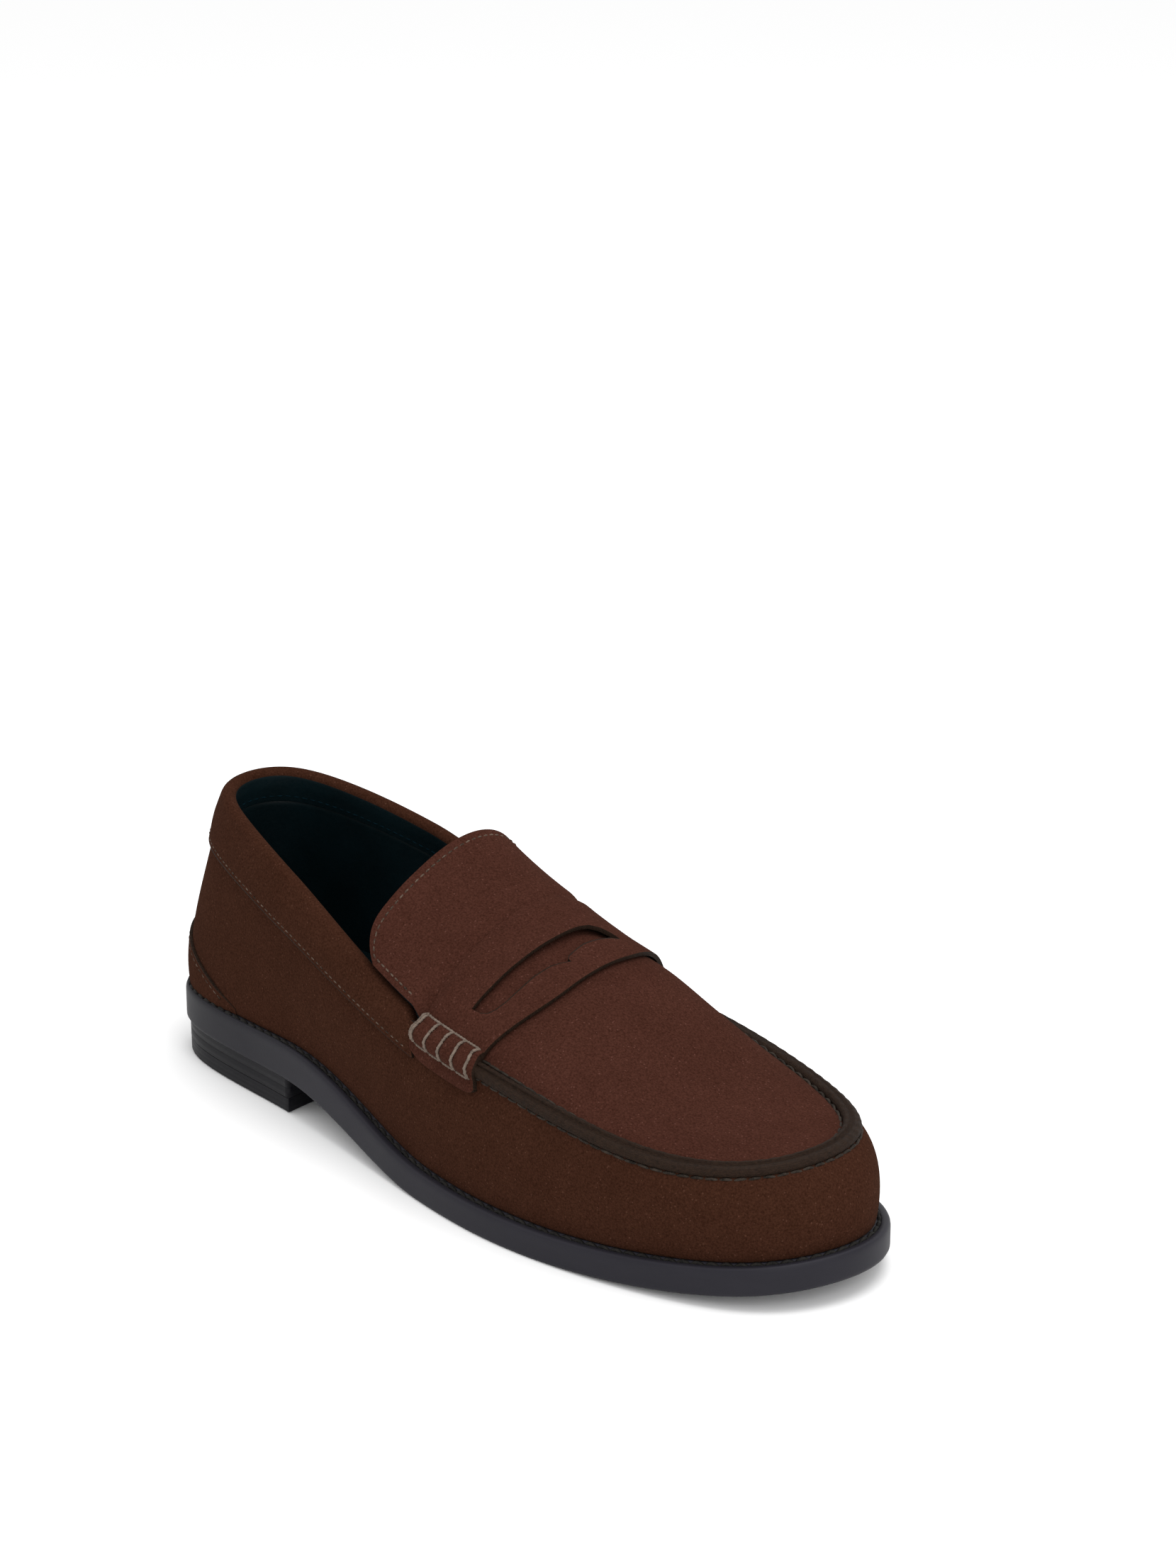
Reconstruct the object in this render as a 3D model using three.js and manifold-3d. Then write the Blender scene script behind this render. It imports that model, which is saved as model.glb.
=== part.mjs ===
// Penny loafer, right foot. Millimetres, +X to the toe, +Y to the wearer's left (the big toe's side), +Z up.
// The origin is under the middle of the sole's length and width, on the ground.
//
// Two closed curves run round the shoe and share one station number, from 0 at the back of the heel, along the
// outer side to 10 at the toe, and back along the inner side to 20. One curve is the edge of the sole, the other
// is the rim, where the side wall meets the apron or the collar. Every layer of the upper is a sheet laid off the
// wall between those curves, or off the arch that spans the rim over the instep.
import * as THREE from "three";
import { mergeVertices } from "three/addons/utils/BufferGeometryUtils.js";
import Module from "manifold-3d";

const wasm = await Module();
wasm.setup();

// Overall sizes
const SOLE_LENGTH = 299;
const SOLE_WIDTH = 100.5;
const HEEL_RISE = 12.5; // heel block under the outsole
const SOLE_AT_HEEL = 12.4; // outsole and welt together
const SOLE_AT_BALL = 9.4;
const TOE_SPRING = 7.6; // how far the toe of the sole stands off the ground

// Leathers, linings and boards
const CLEARANCE = 0.4; // between layers that are glued or sewn together
const LEATHER = 1.5;
const LINING = 1.0;
const STIFFENER = 1.3; // toe puff and heel counter
const WELT_THICKNESS = 2.4;
const WELT_WIDTH = 9;
const WELT_INSET = 0.5; // the welt stands this far inside the outsole's edge
const INSOLE_BOARD = 2.0;
const SOCK_LINER = 1.4;
const HEEL_PAD = 2.6;
const HEEL_PAD_LENGTH = 56;
const HEEL_PAD_WIDTH = 40;
const SHANK_THICKNESS = 1.2;
const SHANK_WIDTH = 14;
const SHANK_LENGTH = 96;

// Heel block
const TOP_PIECE = 5.6; // the rubber layer that wears
const HEEL_LIFTS = 2;
const HEEL_INSET = 1.2; // the block stands this far inside the outsole's edge
const NAIL_RADIUS = 1.3;
const NAIL_HEAD_RADIUS = 2.4;
const NAIL_HEAD = 1.2;
const NAIL_GRIP = 3; // how far a nail reaches into the outsole
const NAIL_SINK = 1; // nail heads stand this far inside the top piece
const NAILS = 5;
const NAIL_RING = 22; // radius of the arc that the nails stand on
const NAIL_SWEEP = 1.15 * Math.PI; // how far round the heel that arc goes
const BREAST_HOLLOW = 5; // how far the front of the heel block is hollowed
const HEEL_STEP = 0.3; // each layer of the heel stands this far inside the one above

// Upper
const FEATHER_INSET_HEEL = 2.5; // sole edge to the foot of the wall
const FEATHER_INSET_BALL = 4.5;
const COLLAR_DEPTH = 16; // collar band outside, below the rim
const COLLAR_LAP = 4; // collar band over the top of the wall
const COLLAR_SKIN = 1.0;
const COLLAR_RADIUS = 2.2; // of the padded roll along the topline
const COLLAR_TURN_IN = 9; // collar band inside, below the rim
const FOXING_HEIGHT = 24;
const BACK_STRIP_WIDTH = 11;
const STRAP_WIDTH = 36;
const STRAP_WIDTH_AT_ROLL = 29;
const STRAP_REAR = 0; // where the strap's rear edge crosses the instep
const TONGUE_LENGTH = 34;
const TONGUE_RAISE = 4.9; // tongue's edge above the rim, so that it lies over the collar
const RIDGE_HALF = 3; // half the width of the hand-sewn ridge round the apron
const RIDGE_HEIGHT = 2.4;
const ROLL_HALF = 5;
const ROLL_HEIGHT = 4.2;
const TAB_DEPTH = 11; // strap tab on the wall, below the rim
const LASHING_RADIUS = 0.7;
const LASHING_WRAPS = 5;

// Stations: sole edge x y | rim x y, rise over the sole | handles of the wall's curve: foot out up, rim out down
const STATIONS = [
  [-152, -1, -139, 0, 70, 2.6, 20, 4, 24],
  [-146, -28, -133, -17, 69, 2.6, 20, 4, 24],
  [-118, -35, -114, -25, 66, 2.6, 18, 4, 22],
  [-80, -36, -86, -32, 60.5, 2.6, 16, 4, 20],
  [-40, -41, -54, -36, 50, 2.6, 16, 4.5, 18],
  [0, -48, -18, -39, 46, 2.6, 15, 5, 15],
  [40, -53, 20, -42, 43, 2.6, 15, 5, 11],
  [80, -48, 62, -44, 39.5, 2.6, 14, 5, 9],
  [115, -38, 100, -37, 30.5, 2.6, 13, 7, 6],
  [140, -24, 126, -21, 27.5, 2.6, 13, 9, 4],
  [151, 3, 134, 4, 27.3, 2.6, 13, 10, 3],
  [144, 27, 126, 29, 27.5, 2.6, 13, 9, 4],
  [118, 44, 100, 42, 30.5, 2.6, 13, 7, 6],
  [80, 50, 62, 44, 40, 2.6, 14, 5, 9],
  [45, 48, 20, 40, 45, 2.6, 15, 5, 11],
  [5, 37, -18, 37, 49, 2.6, 15, 5, 15],
  [-40, 28, -54, 35, 55, 2.6, 16, 4.5, 18],
  [-80, 30, -86, 31, 62, 2.6, 16, 4, 20],
  [-118, 33, -114, 25, 67, 2.6, 18, 4, 22],
  [-146, 25, -133, 17, 69.5, 2.6, 20, 4, 24],
];
const TOE = STATIONS.length / 2;
const TURN = STATIONS.length;
const CORNER = 0.9; // stations either side of the heel back and the toe that form the ends of a patch

// The arch over the instep: place along the shoe | outer shoulder in, up | inner shoulder in, up
const SHOULDERS = [
  [-36, 10, 24, 8, 50],
  [1, 12, 25, 8, 42],
  [37, 15, 16, 9, 37],
  [56, 16, 11, 12, 26],
  [70, 16, 7, 13, 17],
  [84, 15, 4, 13, 10],
  [112, 11, 1.5, 10, 3.5],
  [134, 8, 0, 8, 0],
];

const SUEDE = { color: 0x5a3328, roughness: 0.95 };
const SUEDE_DARK = { color: 0x432419, roughness: 0.95 };
const APRON_SUEDE = { color: 0x653a2c, roughness: 0.93 };
const DARK_LINING = { color: 0x0f1c20, roughness: 0.9 };
const SLATE_RUBBER = { color: 0x3e3d45, roughness: 0.7 };
const SLATE_WELT = { color: 0x55545c, roughness: 0.75 };
const BOARD = { color: 0x9a8767, roughness: 0.95 };
const CORK = { color: 0xa6794a, roughness: 1 };
const STEEL = { color: 0x8d9196, roughness: 0.35, metalness: 1 };
const FOAM = { color: 0xc9c4b4, roughness: 1 };
const THREAD = { color: 0x8c8178, roughness: 0.8 };

const { smoothstep, lerp } = THREE.MathUtils;
const UP = new THREE.Vector3(0, 0, 1);

// ---------- curves ----------

// A closed uniform cubic B-spline through the rows' columns, at a station number.
function closedSpline(rows, station) {
  const first = Math.floor(station);
  const part = station - first;
  const weights = [
    (1 - part) ** 3,
    3 * part ** 3 - 6 * part ** 2 + 4,
    -3 * part ** 3 + 3 * part ** 2 + 3 * part + 1,
    part ** 3,
  ];
  const value = rows[0].map(() => 0);
  weights.forEach((weight, k) => {
    const row = rows[(first + k - 1 + 2 * rows.length) % rows.length];
    row.forEach((number, i) => {
      value[i] += (weight * number) / 6;
    });
  });
  return value;
}

// Lowest and highest value of one column of the spline, over the whole turn.
function extent(rows, columnIndex) {
  const values = [];
  for (let station = 0; station < TURN; station += 0.05) values.push(closedSpline(rows, station)[columnIndex]);
  return [Math.min(...values), Math.max(...values)];
}

const [sketchBack, sketchFront] = extent(STATIONS, 0);
const [sketchOuter, sketchInner] = extent(STATIONS, 1);
const lengthScale = SOLE_LENGTH / (sketchFront - sketchBack);
const widthScale = SOLE_WIDTH / (sketchInner - sketchOuter);
const along = (x) => (x - (sketchBack + sketchFront) / 2) * lengthScale;
const across = (y) => (y - (sketchOuter + sketchInner) / 2) * widthScale;

const EDGE_ROWS = STATIONS.map((row) => [along(row[0]), across(row[1])]);
const RIM_ROWS = STATIONS.map((row) => [along(row[2]), across(row[3]), row[4]]);
const HANDLE_ROWS = STATIONS.map((row) => row.slice(5));

const HEEL_BREAST = along(-73);
const WAIST_START = along(-74.6);
const BALL_START = along(7.2);
const SPRING_START = along(55);

function underside(x) {
  const lifted = 1 - smoothstep(x, WAIST_START, BALL_START);
  const spring = Math.max(0, (x - SPRING_START) / (SOLE_LENGTH / 2 - SPRING_START));
  return HEEL_RISE * lifted + TOE_SPRING * spring ** 2;
}

function soleTop(x) {
  return underside(x) + lerp(SOLE_AT_HEEL, SOLE_AT_BALL, smoothstep(x, along(-60), along(30)));
}

// Unit vector in plan, square to the sole's edge and pointing out of the shoe.
function outwardAt(station) {
  const step = 0.01;
  const [x0, y0] = closedSpline(EDGE_ROWS, station - step);
  const [x1, y1] = closedSpline(EDGE_ROWS, station + step);
  return new THREE.Vector3(y1 - y0, x0 - x1, 0).normalize();
}

function soleEdge(station, inset = 0) {
  const [x, y] = closedSpline(EDGE_ROWS, station);
  return new THREE.Vector3(x, y, 0).addScaledVector(outwardAt(station), -inset);
}

function featherInset(station) {
  const [x] = closedSpline(EDGE_ROWS, station);
  return lerp(FEATHER_INSET_HEEL, FEATHER_INSET_BALL, smoothstep(x, along(-110), along(-20)));
}

// The foot of the wall, on top of the welt.
function feather(station) {
  const foot = soleEdge(station, featherInset(station));
  return foot.setZ(soleTop(foot.x) + CLEARANCE);
}

function rim(station, inset = 0, lift = 0) {
  const [x, y, rise] = closedSpline(RIM_ROWS, station);
  const point = new THREE.Vector3(x, y, soleTop(x) + rise + lift);
  return point.addScaledVector(outwardAt(station), -inset);
}

// The wall's curve from its foot to the rim, at one station.
const wallCurves = new Map();
function wallCurve(station) {
  const key = station.toFixed(5);
  if (!wallCurves.has(key)) {
    const [footOut, footUp, rimOut, rimDown] = closedSpline(HANDLE_ROWS, station);
    const foot = feather(station);
    const top = rim(station);
    const out = outwardAt(station);
    const afterFoot = foot.clone().addScaledVector(out, footOut).addScaledVector(UP, footUp);
    const beforeRim = top.clone().addScaledVector(out, rimOut).addScaledVector(UP, -rimDown);
    const curve = new THREE.CubicBezierCurve3(foot, afterFoot, beforeRim, top);
    curve.arcLengthDivisions = 40;
    wallCurves.set(key, curve);
  }
  return wallCurves.get(key);
}

// A point on the wall: height 0 at its foot and 1 at the rim, and so many millimetres off its outer face.
function wallPoint(station, height, outward = 0) {
  const step = 0.01;
  const ahead = wallCurve(station + step).getPoint(height);
  const behind = wallCurve(station - step).getPoint(height);
  const upward = wallCurve(station).getTangent(height);
  const outwardFace = ahead.sub(behind).cross(upward).normalize();
  return wallCurve(station).getPoint(height).addScaledVector(outwardFace, outward);
}

// The height, from 0 to 1, that lies a distance below the rim, measured down the wall.
function heightBelowRim(station, distance) {
  const curve = wallCurve(station);
  return curve.getUtoTmapping(0, Math.max(0, curve.getLength() - distance));
}

// A point by its distance up (or, below 0, down the wall) from the rim, and off the wall's outer face.
function fromRim(station, up, outward) {
  if (up <= 0) return wallPoint(station, heightBelowRim(station, -up), outward);
  return wallPoint(station, 1, outward).addScaledVector(wallCurve(station).getTangent(1), up);
}

// The station on the outer side (or inner side) where the rim passes a place along the shoe.
function stationAt(x, inner = false) {
  let [low, high] = [0.2, TOE - 0.2];
  for (let round = 0; round < 40; round += 1) {
    const middle = (low + high) / 2;
    const station = inner ? TURN - middle : middle;
    if (closedSpline(RIM_ROWS, station)[0] < x) low = middle;
    else high = middle;
  }
  return inner ? TURN - low : low;
}

// The arch's shoulder handles at a place along the shoe, smooth between the table's rows.
function shouldersAt(x) {
  const places = SHOULDERS.map((row) => along(row[0]));
  let i = places.findIndex((place) => place > x) - 1;
  if (i < 0) i = x < places[0] ? 0 : places.length - 2;
  const part = Math.min(1, Math.max(0, (x - places[i]) / (places[i + 1] - places[i])));
  const slope = (k, c) => {
    const before = Math.max(0, k - 1);
    const after = Math.min(places.length - 1, k + 1);
    return (SHOULDERS[after][c] - SHOULDERS[before][c]) / (places[after] - places[before]);
  };
  return [1, 2, 3, 4].map((c) => {
    const run = places[i + 1] - places[i];
    const [a, b] = [SHOULDERS[i][c], SHOULDERS[i + 1][c]];
    const [p2, p3] = [part * part, part ** 3];
    return (
      (2 * p3 - 3 * p2 + 1) * a +
      (p3 - 2 * p2 + part) * run * slope(i, c) +
      (3 * p2 - 2 * p3) * b +
      (p3 - p2) * run * slope(i + 1, c)
    );
  });
}

// A point of the arch between an outer and an inner edge point, from 0 at the outer to 1 at the inner.
// Where the edges are raised off the rim, the shoulders come down so that the crown stays where it was.
function archPoint(outerEdge, innerEdge, side, raised = 0) {
  const [outerIn, outerUp, innerIn, innerUp] = shouldersAt((outerEdge.x + innerEdge.x) / 2);
  const eased = (4 / 3) * raised;
  const outerShoulder = outerEdge.clone().add(new THREE.Vector3(0, outerIn, outerUp - eased));
  const innerShoulder = innerEdge.clone().add(new THREE.Vector3(0, -innerIn, innerUp - eased));
  return new THREE.CubicBezierCurve3(outerEdge, outerShoulder, innerShoulder, innerEdge).getPoint(side);
}

// Moves a surface's point off the surface, along the normal found from its neighbours.
function offSurface(surface, s, t, distance) {
  const step = 0.004;
  const [s0, s1] = [Math.max(0, s - step), Math.min(1, s + step)];
  const [t0, t1] = [Math.max(0, t - step), Math.min(1, t + step)];
  const alongS = surface(s1, t).sub(surface(s0, t));
  const alongT = surface(s, t1).sub(surface(s, t0));
  return surface(s, t).addScaledVector(alongS.cross(alongT).normalize(), distance);
}

// ---------- solids ----------

function facingOut(geometry) {
  geometry.deleteAttribute("normal");
  geometry.deleteAttribute("uv");
  geometry.clearGroups();
  const merged = mergeVertices(geometry, 1e-4);
  const points = merged.attributes.position;
  const index = merged.index.array;
  const [a, b, c] = [new THREE.Vector3(), new THREE.Vector3(), new THREE.Vector3()];
  let volume = 0;
  for (let i = 0; i < index.length; i += 3) {
    a.fromBufferAttribute(points, index[i]);
    b.fromBufferAttribute(points, index[i + 1]);
    c.fromBufferAttribute(points, index[i + 2]);
    volume += a.dot(b.cross(c));
  }
  if (volume < 0) {
    for (let i = 0; i < index.length; i += 3) [index[i], index[i + 1]] = [index[i + 1], index[i]];
  }
  merged.computeVertexNormals();
  return merged;
}

function remap(geometry, place) {
  const points = geometry.attributes.position;
  for (let i = 0; i < points.count; i += 1) {
    const moved = place(points.getX(i), points.getY(i), points.getZ(i));
    points.setXYZ(i, moved.x, moved.y, moved.z);
  }
  return facingOut(geometry);
}

// A sheet: place(s, t, face) gives its points, with face 0 on the inner side and 1 on the outer side.
function sheetGeometry(columns, rows, place) {
  return remap(new THREE.BoxGeometry(1, 1, 1, columns, rows, 1), (x, y, z) => place(x + 0.5, y + 0.5, z + 0.5));
}

// A bar: place(corner, t) gives the corners of its section along t, and place(-1, t) the middle of an end.
function barGeometry(corners, steps, place) {
  return remap(new THREE.CylinderGeometry(1, 1, 1, corners, steps), (x, y, z) => {
    if (Math.hypot(x, z) < 0.5) return place(-1, y + 0.5);
    const corner = Math.round((Math.atan2(x, z) / (2 * Math.PI)) * corners);
    return place((corner + corners) % corners, y + 0.5);
  });
}

// A closed ring: place(corner, turn) gives the corners of its section, with turn from 0 to 1.
function ringGeometry(corners, steps, place) {
  const geometry = new THREE.TorusGeometry(2, 1, corners, steps);
  const uv = geometry.attributes.uv;
  const points = geometry.attributes.position;
  for (let i = 0; i < points.count; i += 1) {
    const corner = Math.round(uv.getY(i) * corners) % corners;
    const turn = (Math.round(uv.getX(i) * steps) % steps) / steps;
    const moved = place(corner, turn);
    points.setXYZ(i, moved.x, moved.y, moved.z);
  }
  return facingOut(geometry);
}

// A plate inside a closed outline: height(x, face) gives its lower face at 0 and upper face at 1.
function plateGeometry(columns, rows, outline, height) {
  const span = TOE - 2 * CORNER;
  const surface = (s, t) => {
    const outer = outline(CORNER + span * s);
    const inner = outline(TURN - CORNER - span * s);
    const rear = outline(CORNER * (1 - 2 * t));
    const front = outline(TOE - CORNER * (1 - 2 * t));
    const point = outer.lerp(inner, t).add(rear.lerp(front, s));
    const rearChord = outline(CORNER).lerp(outline(-CORNER), t);
    const frontChord = outline(TOE - CORNER).lerp(outline(TOE + CORNER), t);
    return point.sub(rearChord.lerp(frontChord, s));
  };
  return sheetGeometry(columns, rows, (s, t, face) => {
    const point = surface(s, t);
    return point.setZ(height(point.x, face));
  });
}

function solidOf(geometry) {
  const bare = facingOut(geometry.clone());
  return new wasm.Manifold(
    new wasm.Mesh({
      numProp: 3,
      vertProperties: bare.attributes.position.array,
      triVerts: new Uint32Array(bare.index.array),
    }),
  );
}

function geometryOf(solid) {
  const mesh = solid.getMesh();
  const geometry = new THREE.BufferGeometry();
  geometry.setAttribute("position", new THREE.BufferAttribute(mesh.vertProperties, 3));
  geometry.setIndex(new THREE.BufferAttribute(mesh.triVerts, 1));
  return facingOut(geometry);
}

function cut(geometry, tools) {
  const rest = tools.reduce((solid, tool) => solid.subtract(solidOf(tool)), solidOf(geometry));
  return geometryOf(rest);
}

const shoe = new THREE.Group();

function addPiece(name, geometry, finish) {
  const mesh = new THREE.Mesh(geometry, new THREE.MeshStandardMaterial(finish));
  mesh.name = name;
  shoe.add(mesh);
}

// ---------- sole, heel and insole ----------

const HEEL_LIFT = (HEEL_RISE - TOP_PIECE) / HEEL_LIFTS;

// Nail places: an arc round the back of the heel, open to the front.
function nailPlaces() {
  const middle = new THREE.Vector2(along(-118), across(-1));
  const places = [];
  for (let i = 0; i < NAILS; i += 1) {
    const angle = Math.PI + (i / (NAILS - 1) - 0.5) * NAIL_SWEEP;
    places.push(new THREE.Vector2(Math.cos(angle), Math.sin(angle)).multiplyScalar(NAIL_RING).add(middle));
  }
  return places;
}

// A nail as one turned piece: shank and head, grown by a clearance when it is used as a cutter.
function nailGeometry(grow) {
  const low = NAIL_SINK - (grow ? 2 * NAIL_SINK : 0);
  const high = HEEL_RISE + NAIL_GRIP + grow;
  const profile = [
    new THREE.Vector2(0, low),
    new THREE.Vector2(NAIL_HEAD_RADIUS + grow, low),
    new THREE.Vector2(NAIL_HEAD_RADIUS + grow, NAIL_SINK + NAIL_HEAD + grow),
    new THREE.Vector2(NAIL_RADIUS + grow, NAIL_SINK + NAIL_HEAD + grow),
    new THREE.Vector2(NAIL_RADIUS + grow, high),
    new THREE.Vector2(0, high),
  ];
  return new THREE.LatheGeometry(profile, 8).rotateX(Math.PI / 2);
}

function nailCutters() {
  return nailPlaces().map((place) => nailGeometry(CLEARANCE).translate(place.x, place.y, 0));
}

// One layer of the heel block: the sole's outline behind the breast, which is hollowed a little.
function heelLayer(bottom, thickness, inset) {
  const shape = new THREE.Shape();
  const breast = HEEL_BREAST - inset;
  const outerEnd = soleStationAt(breast);
  const innerEnd = soleStationAt(breast, true) - TURN;
  const steps = 26;
  for (let i = 0; i <= steps; i += 1) {
    const point = soleEdge(lerp(innerEnd, outerEnd, i / steps), HEEL_INSET + inset);
    if (i) shape.lineTo(point.x, point.y);
    else shape.moveTo(point.x, point.y);
  }
  const last = shape.currentPoint.clone();
  const first = soleEdge(innerEnd, HEEL_INSET + inset);
  shape.quadraticCurveTo(breast - BREAST_HOLLOW, (last.y + first.y) / 2, first.x, first.y);
  const geometry = new THREE.ExtrudeGeometry(shape, { depth: thickness, bevelEnabled: false, curveSegments: 8 });
  return geometry.translate(0, 0, bottom);
}

function soleStationAt(x, inner = false) {
  let [low, high] = [0.2, TOE - 0.2];
  for (let round = 0; round < 40; round += 1) {
    const middle = (low + high) / 2;
    if (soleEdge(inner ? TURN - middle : middle).x < x) low = middle;
    else high = middle;
  }
  return inner ? TURN - low : low;
}

const nails = nailCutters();
addPiece("top_piece", cut(heelLayer(0, TOP_PIECE - CLEARANCE, HEEL_LIFTS * HEEL_STEP), nails), SLATE_RUBBER);
for (let i = 0; i < HEEL_LIFTS; i += 1) {
  const bottom = TOP_PIECE + i * HEEL_LIFT;
  const layer = heelLayer(bottom, HEEL_LIFT - CLEARANCE, (HEEL_LIFTS - 1 - i) * HEEL_STEP);
  addPiece("heel_lift_" + (i + 1), cut(layer, nails), SLATE_RUBBER);
}
nailPlaces().forEach((place, i) => {
  addPiece("heel_nail_" + (i + 1), facingOut(nailGeometry(0).translate(place.x, place.y, 0)), STEEL);
});

const outsoleTop = (x) => soleTop(x) - WELT_THICKNESS - CLEARANCE;
const outsole = plateGeometry(28, 4, (station) => soleEdge(station), (x, face) =>
  face ? outsoleTop(x) : underside(x),
);
addPiece("outsole", cut(outsole, nails), SLATE_RUBBER);

const weltSection = [
  [WELT_INSET, 0],
  [WELT_INSET, 1],
  [WELT_WIDTH, 1],
  [WELT_WIDTH, 0],
];
const welt = ringGeometry(weltSection.length, 64, (corner, turn) => {
  const [inset, level] = weltSection[corner];
  const point = soleEdge(turn * TURN, inset);
  return point.setZ(soleTop(point.x) - WELT_THICKNESS * (1 - level));
});
addPiece("welt", welt, SLATE_WELT);

// The steel shank bridges the waist, in a slot through the cork filler.
const shankRear = along(-60) - SHANK_LENGTH / 2;
const shankMiddle = across(-3);
const shankSlot = 2; // its slot is cut this far below and above it
const shankSheet = (grow) =>
  sheetGeometry(14, 1, (s, t, face) => {
    const x = shankRear - grow + (SHANK_LENGTH + 2 * grow) * s;
    const halfWidth = SHANK_WIDTH / 2 + grow;
    const seat = soleTop(x) - WELT_THICKNESS;
    const bottom = grow ? seat - shankSlot : seat;
    const top = grow ? soleTop(x) + shankSlot : seat + SHANK_THICKNESS;
    return new THREE.Vector3(x, shankMiddle + (2 * t - 1) * halfWidth, lerp(bottom, top, face));
  });
addPiece("shank", shankSheet(0), STEEL);

const fillerInset = WELT_WIDTH + CLEARANCE;
const filler = plateGeometry(26, 3, (station) => soleEdge(station, fillerInset), (x, face) =>
  face ? soleTop(x) : soleTop(x) - WELT_THICKNESS,
);
addPiece("cork_filler", cut(filler, [shankSheet(CLEARANCE)]), CORK);

// Inside the wall and its lining: everything that lies on the filler keeps clear of the lining's inner face.
const LINING_FACE = LEATHER + STIFFENER + LINING + 2 * CLEARANCE;
const insideInset = (station) => featherInset(station) + LINING_FACE + 2 * CLEARANCE;
const boardTop = (x) => soleTop(x) + CLEARANCE + INSOLE_BOARD;
const board = plateGeometry(26, 3, (station) => soleEdge(station, insideInset(station)), (x, face) =>
  face ? boardTop(x) : soleTop(x) + CLEARANCE,
);
addPiece("insole_board", board, BOARD);

const padRise = (x) => (HEEL_PAD + CLEARANCE) * (1 - smoothstep(x, along(-72), along(-45)));
const sockTop = (x) => boardTop(x) + CLEARANCE + padRise(x) + SOCK_LINER;
const sock = plateGeometry(26, 3, (station) => soleEdge(station, insideInset(station)), (x, face) =>
  face ? sockTop(x) : sockTop(x) - SOCK_LINER,
);
addPiece("sock_liner", sock, DARK_LINING);

const padMiddle = along(-110);
const padShape = new THREE.Shape();
padShape.absellipse(padMiddle, across(-1), HEEL_PAD_LENGTH / 2, HEEL_PAD_WIDTH / 2, 0, 2 * Math.PI);
const padForm = { depth: HEEL_PAD, bevelEnabled: false, curveSegments: 24 };
const padGeometry = new THREE.ExtrudeGeometry(padShape, padForm);
addPiece("heel_pad", facingOut(padGeometry.translate(0, 0, boardTop(padMiddle) + CLEARANCE)), FOAM);

// ---------- side wall and what is laid on it ----------

const ROLL_FRONT = STRAP_REAR + STRAP_WIDTH_AT_ROLL;
const COLLAR_FRONT = STRAP_REAR - 5; // the collar band ends here, beside the tongue's root
const WALL_FULL = STRAP_REAR - 1; // in front of here the wall reaches the rim
const collarEnd = stationAt(along(COLLAR_FRONT));
const collarEndInner = stationAt(along(COLLAR_FRONT), true) - TURN;
const wallTop = COLLAR_DEPTH - COLLAR_LAP; // the wall stops this far below the rim, under the collar band

const BACK_SEAM = 0.02; // stations either side of the seam up the back of the heel

// The wall's columns: it stops low under the collar band, and steps up to the rim in front of the band's ends.
function wallColumns() {
  const behind = 18;
  const ahead = 26;
  const columns = [];
  for (let i = 0; i <= behind; i += 1) {
    columns.push([lerp(BACK_SEAM, stationAt(along(COLLAR_FRONT + CLEARANCE)), i / behind), wallTop]);
  }
  const [first, last] = [stationAt(along(WALL_FULL)), stationAt(along(WALL_FULL), true)];
  for (let i = 0; i <= ahead; i += 1) columns.push([lerp(first, last, i / ahead), 0]);
  for (let i = behind; i >= 0; i -= 1) {
    const start = stationAt(along(COLLAR_FRONT + CLEARANCE), true);
    columns.push([lerp(TURN - BACK_SEAM, start, i / behind), wallTop]);
  }
  return columns;
}

const wallStations = wallColumns();
const wall = sheetGeometry(wallStations.length - 1, 6, (s, t, face) => {
  const [station, stop] = wallStations[Math.round(s * (wallStations.length - 1))];
  return wallPoint(station, t * heightBelowRim(station, stop), LEATHER * (face - 1));
});
addPiece("vamp_wall", wall, SUEDE);

const liningOutside = LEATHER + STIFFENER + 2 * CLEARANCE;
const quarterLining = sheetGeometry(30, 5, (s, t, face) => {
  const station = lerp(collarEndInner, collarEnd, s);
  const top = heightBelowRim(station, COLLAR_TURN_IN + CLEARANCE);
  return wallPoint(station, t * top, -liningOutside - LINING * (1 - face));
});
addPiece("quarter_lining", quarterLining, DARK_LINING);

const VAMP_LINING_TOP = 0.86;
const vampLining = sheetGeometry(28, 4, (s, t, face) => {
  const station = lerp(collarEnd + 0.05, TURN + collarEndInner - 0.05, s);
  return wallPoint(station, t * VAMP_LINING_TOP, -liningOutside - LINING * (1 - face));
});
addPiece("vamp_lining", vampLining, DARK_LINING);

function stiffener(from, to, bottom, top, columns, rows) {
  return sheetGeometry(columns, rows, (s, t, face) =>
    wallPoint(lerp(from, to, s), lerp(bottom, top, t), -LEATHER - CLEARANCE - STIFFENER * (1 - face)),
  );
}
// Stations either side of the heel back and the toe, and shares of the wall's height.
const COUNTER_REACH = 2.6;
const PUFF_REACH = 1.9;
const [STIFFENER_FOOT, COUNTER_TOP, PUFF_TOP] = [0.02, 0.6, 0.78];
addPiece("heel_counter", stiffener(-COUNTER_REACH, COUNTER_REACH, STIFFENER_FOOT, COUNTER_TOP, 16, 3), BOARD);
addPiece("toe_puff", stiffener(TOE - PUFF_REACH, TOE + PUFF_REACH, STIFFENER_FOOT, PUFF_TOP, 12, 3), BOARD);

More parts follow.
